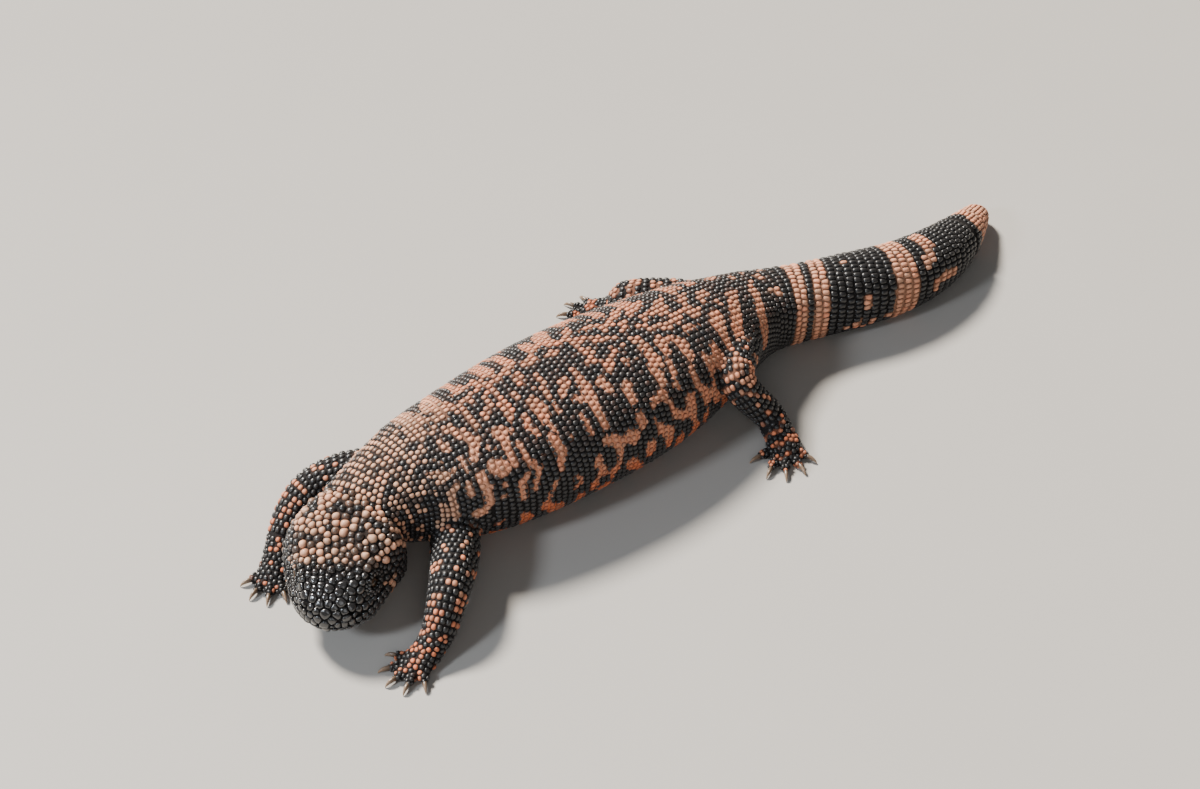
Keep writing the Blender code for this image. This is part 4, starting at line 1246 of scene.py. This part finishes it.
def build_beads(surface):
    """Every bead of the hide, as one object for each piece of the coat."""
    names, places, spacing = gather_beads(surface)
    places, normals = surface.snapped(places)
    s, theta, _ = place_on_body(places)
    names = np.where(names == "body", body_piece(s, theta), names)
    lift = lift_angle(theta)
    leg, head = np.isin(names, ["beads_" + key for key in LEGS]), names == "beads_head"
    zones = coat_zones(s, lift, leg, head)
    _, side, up, _, _ = section(s)
    lengthwise = np.cross(up, side)
    across = unit(lengthwise - normals * np.sum(lengthwise * normals, axis=1)[:, None])
    sideways = np.cross(normals, across)
    draw = np.random.default_rng(LOOKS_SEED)
    gap = bead_shape("gap", zones) * np.clip(spacing / 3, 0.6, 1)
    shape = bead_shape("squareness", zones), gap, bead_shape("most_reach", zones)
    reach = outlines(places, across, sideways, spacing, *shape)
    height = reach.mean(axis=1) * 2 * bead_shape("height", zones) * draw.uniform(0.85, 1.15, len(places))
    points = bead_points(places, normals, across, sideways, reach, height, bead_shape("flatness", zones))
    points[..., 2] = np.maximum(points[..., 2], 0.05)
    each = points.shape[1]

    def spread(values):
        """One value for each bead given to all its points."""
        return np.repeat(values, each, axis=0)

    chance = draw.normal(0, 1, len(places))
    # Each bead's random paleness, raised on the tail as painted sunlight, so its pale beads are drawn
    # lighter.
    tone = draw.normal(0, 1, len(places)) + 1.6 * zones["tail"]
    dull, sheen_draw = draw.uniform(0, 1, (2, len(places))) ** 2
    # Painted sheen: some black beads on the upper side of head and body are drawn a paler pinkish brown.
    upper = ramp(lift, 20, 50) * (1 - 0.7 * ramp(s, 66, 120)) * (~leg) * ramp(s, 18, 30) * (1 - zones["tail"])
    polish = head * (1 - 0.75 * ramp(s, 16, 36))
    pink, warmth = markings(points.reshape(-1, 3), *(spread(one) for one in (places, s, theta, leg, chance)))
    pink = pink * (1 - spread(0.3 * dull)) + (1 - pink) * spread(0.24 * sheen_draw * upper)
    shares = np.r_[np.repeat(RINGS, SIDES), 0.0]
    petal = compass(np.r_[np.tile(TURNS, len(RINGS)), 0.0]) * (shares * PATCH)[:, None]
    uv = unwrap(places, names, s, theta)[:, None] + petal[None]
    rise = np.tile(1 - shares, len(places))
    made = {}
    for name in sorted(set(names)):
        mine = np.flatnonzero(names == name)
        coat = mesh_object(name, points[mine].reshape(-1, 3), *bead_faces(len(mine)))
        pick = (mine[:, None] * each + np.arange(each)).ravel()
        store(coat, pink=pink[pick], warmth=warmth[pick], rise=rise[pick])
        store(coat, tone=spread(tone[mine]), polish=spread(polish[mine]))
        corners = np.zeros(len(coat.data.loops), np.int32)
        coat.data.loops.foreach_get("vertex_index", corners)
        sheet = coat.data.uv_layers.new(name="OFBake").uv
        sheet.foreach_set("vector", uv[mine].reshape(-1, 2)[corners].ravel())
        made[name] = coat
    return made


def paint_skin(surface):
    """The hide's object, with the same markings as the beads on it."""
    points = surface.points
    skin = mesh_object("hide", points, surface.triangles)
    s, theta, out_of_body = place_on_body(points)
    leg = leg_distance(points) < out_of_body
    nothing = np.zeros(len(s))
    pink, warmth = markings(points, points, s, theta, leg, nothing)
    # Painted shade between the beads: the hide loses its pink on head, neck, back and legs, and half on the
    # tail.
    back = ramp(lift_angle(theta), 50, 80)
    bare = (1 - 0.88 * back) * ramp(s, 84, 112) * (1 - 0.8 * leg) * (1 - 0.55 * ramp(s, 306, 322))
    pink = pink * (0.02 + 0.98 * bare)
    store(skin, pink=pink, warmth=warmth, tone=nothing, rise=nothing, polish=nothing)
    return skin


def build_eyes():
    """A smooth ball at the place of each solid eye, with the angle from its gaze kept as a number."""
    eyes = []
    for word, right_side in (("left", False), ("right", True)):
        low, high = (np.array(corner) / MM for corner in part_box("eye_" + word))
        centre = (low + high) / 2 + ORIGIN
        radius = (high - low).max() / 2
        axes = head_place(EYE_AT, right_side)[1]
        eye = ball("eyeball_" + word, centre, (radius,) * 3, axes, 64, 47)
        points = mesh_arrays(eye)[0]
        away = unit(points - centre) @ axes[2]
        store(eye, gaze=np.degrees(np.arccos(np.clip(away, -1, 1))))
        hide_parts("eye_" + word)
        eyes.append(eye)
    return eyes


# Claws: rings and their corners, and by how much a claw starts inside its toe, above its middle
CLAW_ROWS, CLAW_AROUND = 20, 14
CLAW_ROOT = (1.4, 0.35)


def build_claws(key):
    """The claws of a foot: a quadratic curve from toe to point, its radius falling to nothing."""
    reach = CLAW_LENGTH[key.split("_")[0]]
    share = np.linspace(0, 1, CLAW_ROWS)
    here, there = share[:, None], (1 - share)[:, None]
    thick = CLAW_THICK * (1 - share**1.9) + 0.1
    faces = tube_faces(CLAW_ROWS, CLAW_AROUND)
    points, quads, fans = [], [], []
    for n, (_, _, end, aim) in enumerate(toes_of(key)):
        start = end - aim * CLAW_ROOT[0] + np.array([0, 0, CLAW_ROOT[1]])
        bend = end + aim * reach * 0.6 + np.array([0, 0, 1.2])
        tip = end + aim * (reach - 0.5) + np.array([0, 0, 0.2 - end[2]])
        line = there**2 * start + 2 * (here * there) * bend + here**2 * tip
        claw, along = tube_points(line, thick * 0.78, thick, CLAW_AROUND)
        claw = np.vstack([claw, line[0] - along[0] * 0.1, line[-1] + along[-1] * 0.05])
        points.append(np.maximum(claw, (-np.inf, -np.inf, 0.02)))
        quads.append(faces[0] + n * len(claw))
        fans.append(faces[1] + n * len(claw))
    claws = mesh_object("claws_" + key, np.vstack(points), np.vstack(quads), np.vstack(fans))
    store(claws, share=np.tile(np.r_[np.repeat(share, CLAW_AROUND), 0, 1], len(points)))
    return claws


# Finishes


def new_group(name, inputs, outputs):
    """An empty node group with named float or colour sockets, and its input and output nodes."""
    group = bpy.data.node_groups.new(name, "ShaderNodeTree")
    for word, kind in inputs:
        group.interface.new_socket(word, in_out="INPUT", socket_type=kind)
    for word, kind in outputs:
        group.interface.new_socket(word, in_out="OUTPUT", socket_type=kind)
    return group, group.nodes.new("NodeGroupInput"), group.nodes.new("NodeGroupOutput")


def fed(tree, node, values):
    """The node, with each named or numbered input set to a number or colour, or joined to a socket."""
    for word, value in values.items():
        if isinstance(value, bpy.types.NodeSocket):
            tree.links.new(value, node.inputs[word])
        else:
            node.inputs[word].default_value = value
    return node


def maths(tree, operation, *values):
    """One Math node."""
    node = tree.nodes.new("ShaderNodeMath")
    node.operation = operation
    return fed(tree, node, dict(enumerate(values))).outputs[0]


def mixed(tree, share, first, second, blend="MIX"):
    """One Mix node for colours: its inputs 0, 6 and 7 are the share and the two colours."""
    node = tree.nodes.new("ShaderNodeMix")
    node.data_type = "RGBA"
    node.blend_type = blend
    return fed(tree, node, {0: share, 6: first, 7: second}).outputs[2]


def place_on_object(tree):
    """Place of the shaded point in the object's own numbers."""
    return tree.nodes.new("ShaderNodeTexCoord").outputs["Object"]


def noise(tree, scale, detail=3.0):
    """One Noise node over the object's own numbers."""
    values = {"Vector": place_on_object(tree), "Scale": scale, "Detail": detail, "Roughness": 0.55}
    return fed(tree, tree.nodes.new("ShaderNodeTexNoise"), values).outputs["Fac"]


def bent(tree, height, strength, distance):
    """A normal bent by a height."""
    values = {"Height": height, "Strength": strength, "Distance": distance}
    return fed(tree, tree.nodes.new("ShaderNodeBump"), values).outputs["Normal"]


# Colours of pale beads, from cool to warm, of their dark spots, of black beads, and of painted shade between
# beads
CREAM = (0.83, 0.51, 0.34, 1)
SALMON = (0.76, 0.20, 0.085, 1)
BLUSH = (0.50, 0.17, 0.095, 1)
BLACK = (0.011, 0.010, 0.010, 1)
GREY = (0.044, 0.040, 0.040, 1)
ROOT_SHADE = (0.09, 0.045, 0.028, 1)


def reptile_colour_group():
    """Colour and roughness of hide or bead: black or pink, paler or darker by bead, with painted shade at the
    root.
    """
    number, colour = "NodeSocketFloat", "NodeSocketColor"
    tree, start, end = new_group(
        "reptile_colour",
        tuple((word, number) for word in ("Pink", "Warmth", "Tone", "Rise", "Polish", "RootShade")),
        (("Colour", colour), ("Roughness", number)),
    )
    given = start.outputs
    fine, broad = noise(tree, 1900.0), noise(tree, 160.0)
    warm = maths(tree, "MULTIPLY_ADD", given["Tone"], 0.1, given["Warmth"])
    pink = mixed(tree, maths(tree, "MULTIPLY", broad, 0.35), mixed(tree, warm, CREAM, SALMON), BLUSH)
    # Paleness of pale beads: random by bead, and raised on the tail as painted sunlight.
    shade = maths(tree, "MULTIPLY_ADD", given["Tone"], 0.12, 0.93)
    shade = maths(tree, "MULTIPLY", shade, maths(tree, "MULTIPLY_ADD", fine, 0.4, 0.8))
    pale = fed(tree, tree.nodes.new("ShaderNodeCombineColor"), {0: shade, 1: shade, 2: shade})
    pink = mixed(tree, 1.0, pink, pale.outputs[0], "MULTIPLY")
    black = mixed(tree, maths(tree, "MULTIPLY", fine, 0.5), BLACK, GREY)
    # Painted shade: pale beads darken to brown towards their roots, in the crevices between the beads.
    low = maths(tree, "POWER", maths(tree, "SUBTRACT", 1.0, given["Rise"]), 3.0)
    root_shade = maths(tree, "MULTIPLY", maths(tree, "MULTIPLY", low, given["RootShade"]), given["Pink"])
    both = mixed(tree, root_shade, mixed(tree, given["Pink"], black, pink), ROOT_SHADE)
    rough = maths(tree, "MULTIPLY_ADD", given["Pink"], 0.16, 0.32)
    rough = maths(tree, "MULTIPLY_ADD", fine, 0.14, rough)
    rough = maths(tree, "MULTIPLY_ADD", given["Polish"], -0.21, rough)
    fed(tree, end, {"Colour": both, "Roughness": rough})
    return tree


def granule_group():
    """Height of the fine grain of hide: small rounded cells with furrows between, and a finer roughness."""
    number = "NodeSocketFloat"
    tree, start, end = new_group("granules", (("Cells", number), ("Grain", number)), (("Height", number),))
    place = place_on_object(tree)
    cells, grain = (
        fed(tree, tree.nodes.new("ShaderNodeTex" + kind), {"Vector": place, "Scale": start.outputs[word]})
        for kind, word in (("Voronoi", "Cells"), ("Noise", "Grain"))
    )
    dome = maths(tree, "SUBTRACT", 1.0, cells.outputs["Distance"])
    fed(tree, end, {"Height": maths(tree, "MULTIPLY_ADD", grain.outputs["Fac"], 0.5, dome)})
    return tree


def attribute(tree, name):
    """A number that is kept on the mesh under a name."""
    node = tree.nodes.new("ShaderNodeAttribute")
    node.attribute_name = name
    return node.outputs["Fac"]


def plain_material(name):
    """A new material, its node tree and its shader."""
    made = bpy.data.materials.new(name)
    made.use_nodes = True
    return made, made.node_tree, made.node_tree.nodes["Principled BSDF"]


def place_group(tree, group, values):
    """A node group in a material."""
    node = tree.nodes.new("ShaderNodeGroup")
    node.node_tree = group
    return fed(tree, node, values)


def hide_material(name, colour_group, grain_group, cells, grain, bump, root_shade, gloss):
    """Hide or beads: marks kept on the mesh, coloured by the shared groups, with a fine bump."""
    made, tree, shader = plain_material(name)
    marks = {word.capitalize(): attribute(tree, word) for word in "pink warmth tone rise polish".split()}
    colour = place_group(tree, colour_group, {"RootShade": root_shade, **marks})
    height = place_group(tree, grain_group, {"Cells": cells, "Grain": grain}).outputs["Height"]
    wet = maths(tree, "MULTIPLY_ADD", marks["Polish"], 0.7 * gloss, 0.1 * gloss)
    dark = maths(tree, "MULTIPLY_ADD", marks["Pink"], -0.8, 1.0)
    fed(tree, shader, {
        "Base Color": colour.outputs["Colour"],
        "Roughness": maths(tree, "MULTIPLY_ADD", colour.outputs["Roughness"], gloss, 0.9 * (1 - gloss)),
        "Normal": bent(tree, height, bump, 0.0003),
        "Coat Weight": maths(tree, "MULTIPLY", wet, dark),
        "Coat Roughness": 0.12,
        "Specular IOR Level": maths(tree, "MULTIPLY_ADD", marks["Pink"], -0.35 * gloss, 0.55 * gloss),
    })
    return made


# Colours of the eye from the middle of its gaze outwards: share of a right angle, and colour
EYE_RINGS = (
    (0.0, (0.001, 0.001, 0.001, 1)),
    (0.25, (0.001, 0.001, 0.001, 1)),
    (0.29, (0.07, 0.032, 0.012, 1)),
    (0.5, (0.035, 0.017, 0.008, 1)),
    (0.62, (0.004, 0.003, 0.003, 1)),
)


def eye_material():
    """A wet dark eye: round black pupil, brown iris with fine rays, black rim."""
    made, tree, shader = plain_material("wet_eye")
    rays = maths(tree, "MULTIPLY", noise(tree, 2600.0), 0.06)
    share = maths(tree, "MULTIPLY_ADD", attribute(tree, "gaze"), 1 / 90.0, rays)
    rings = fed(tree, tree.nodes.new("ShaderNodeValToRGB"), {"Fac": share})
    steps = rings.color_ramp.elements
    first, *between, last = EYE_RINGS
    for step, (position, colour) in zip(steps, (first, last)):
        step.position, step.color = position, colour
    for position, colour in between:
        steps.new(position).color = colour
    fed(tree, shader, {"Base Color": rings.outputs["Color"], "Roughness": 0.04})
    return made


def claw_material():
    """Horn: dark brown at the root, paler and clearer to the point, with lengthwise grain."""
    made, tree, shader = plain_material("claw_horn")
    streak = noise(tree, 1500.0, 4.0)
    share = maths(tree, "MINIMUM", maths(tree, "MULTIPLY_ADD", streak, 0.35, attribute(tree, "share")), 1.0)
    fed(tree, shader, {
        "Base Color": mixed(tree, share, (0.045, 0.03, 0.022, 1), (0.30, 0.20, 0.13, 1)),
        "Roughness": maths(tree, "MULTIPLY_ADD", streak, 0.2, 0.2),
        "Normal": bent(tree, streak, 0.3, 0.0001),
    })
    return made


# Floor, light and camera


def floor():
    """A plain pale floor, wide enough for every view."""
    corners = np.array([(-1, -1, 0), (1, -1, 0), (1, 1, 0), (-1, 1, 0)], float) * 30000
    ground = mesh_object("floor", corners, np.array([[0, 1, 2, 3]]))
    made, tree, shader = plain_material("pale_floor")
    colour = mixed(tree, noise(tree, 6.0), (0.41, 0.385, 0.355, 1), (0.44, 0.415, 0.385, 1))
    fed(tree, shader, {"Base Color": colour, "Roughness": 0.8})
    ground.data.materials.append(made)


# The sun's width and power, and the air's colour and strength as it lights and as it is seen
KEY_ANGLE = math.radians(12)
KEY_POWER = 10.8
AIR_LIGHT = ((0.97, 0.98, 1.0, 1), 0.15)
AIR_SEEN = ((1.10, 1.04, 0.96, 1), 1.0)


def lamp_at(light, place, target, power, colour):
    """Puts a lamp at a place and turns it to its target."""
    light.energy = power
    light.color = colour
    lamp = bpy.data.objects.new(light.name, light)
    bpy.context.scene.collection.objects.link(lamp)
    lamp.location = place
    lamp.rotation_mode = "QUATERNION"
    lamp.rotation_quaternion = (Vector(target) - Vector(place)).to_track_quat("-Z", "Y")


def area_light(name, place, target, size, power, colour):
    """A round soft lamp."""
    light = bpy.data.lights.new(name, "AREA")
    light.shape = "DISK"
    light.size = size
    lamp_at(light, place, target, power, colour)


def studio():
    """Soft key from behind the animal's right side, where the photograph's sun stands, sky ahead, weak fill.

    The air lights as a dim even sky, but shows as pale as the floor, so that no horizon stands behind.
    """
    key = bpy.data.lights.new("key", "SUN")
    key.angle = KEY_ANGLE
    lamp_at(key, (-0.10, 1.30, 1.35), (0, 0, 0.02), KEY_POWER, (1.0, 0.95, 0.87))
    area_light("sky", (-1.15, 0.15, 0.75), (-0.2, 0, 0.02), 0.22, 10.0, (0.80, 0.90, 1.0))
    area_light("fill", (-0.75, -0.95, 0.75), (0, 0, 0.02), 0.9, 3.0, (0.97, 0.98, 1.0))
    world = bpy.data.worlds.new("pale_air")
    bpy.context.scene.world = world
    world.use_nodes = True
    tree = world.node_tree
    pair = tree.nodes["Background"], tree.nodes.new("ShaderNodeBackground")
    air = [
        fed(tree, node, {"Color": colour, "Strength": strength}).outputs["Background"]
        for node, (colour, strength) in zip(pair, (AIR_LIGHT, AIR_SEEN))
    ]
    from_camera = tree.nodes.new("ShaderNodeLightPath").outputs["Is Camera Ray"]
    blend = fed(tree, tree.nodes.new("ShaderNodeMixShader"), {"Fac": from_camera, 1: air[0], 2: air[1]})
    fed(tree, tree.nodes["World Output"], {"Surface": blend.outputs["Shader"]})


# The camera, fitted to the photograph: its angles, distance, lens and the point that it looks at
CAMERA_TURN, CAMERA_LIFT = math.radians(-42), math.radians(43)
CAMERA_DISTANCE = 0.92
CAMERA_LOOK = (-ORIGIN[0] * MM, -ORIGIN[1] * MM, 0.02)
CAMERA_LENS = 54.99


def photo_camera():
    """The camera stands where the photograph was taken from: 43 degrees up, before the left side."""
    camera = bpy.data.cameras.new("camera")
    camera.lens = CAMERA_LENS
    camera.sensor_width = 36
    camera.sensor_fit = "HORIZONTAL"
    holder = bpy.data.objects.new("camera", camera)
    bpy.context.scene.collection.objects.link(holder)
    flat = math.cos(CAMERA_LIFT)
    back = Vector((math.sin(CAMERA_TURN) * flat, -math.cos(CAMERA_TURN) * flat, math.sin(CAMERA_LIFT)))
    holder.location = Vector(CAMERA_LOOK) + back * CAMERA_DISTANCE
    holder.rotation_mode = "QUATERNION"
    holder.rotation_quaternion = (-back).to_track_quat("-Z", "Y")
    bpy.context.scene.camera = holder


def build():
    """The whole picture: camera, floor, light, hide, coat, eyes and claws."""
    photo_camera()
    floor()
    studio()
    surface = Hide(*build_skin())
    skin = paint_skin(surface)
    coats = build_beads(surface)
    flesh = [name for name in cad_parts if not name.startswith("eye")]
    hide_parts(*flesh)
    groups = reptile_colour_group(), granule_group()
    # The beads take painted shade at their roots; the bare hide takes none.
    bare = hide_material("bare_hide", *groups, cells=1500.0, grain=5000.0, bump=0.7, root_shade=0.0, gloss=0.05)
    beaded = hide_material("bead", *groups, cells=2600.0, grain=7000.0, bump=0.16, root_shade=0.75, gloss=1.0)
    for name, coat in coats.items():
        dark, banded = "fore" in name or "hind" in name, "tail" in name
    eyes, claws = build_eyes(), [build_claws(key) for key in LEGS]
    horn, wet = claw_material(), eye_material()
    for pieces, finish in (([skin], bare), (coats.values(), beaded), (eyes, wet), (claws, horn)):
        for piece in pieces:
            piece.data.materials.append(finish)
            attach(piece, "root")


build()
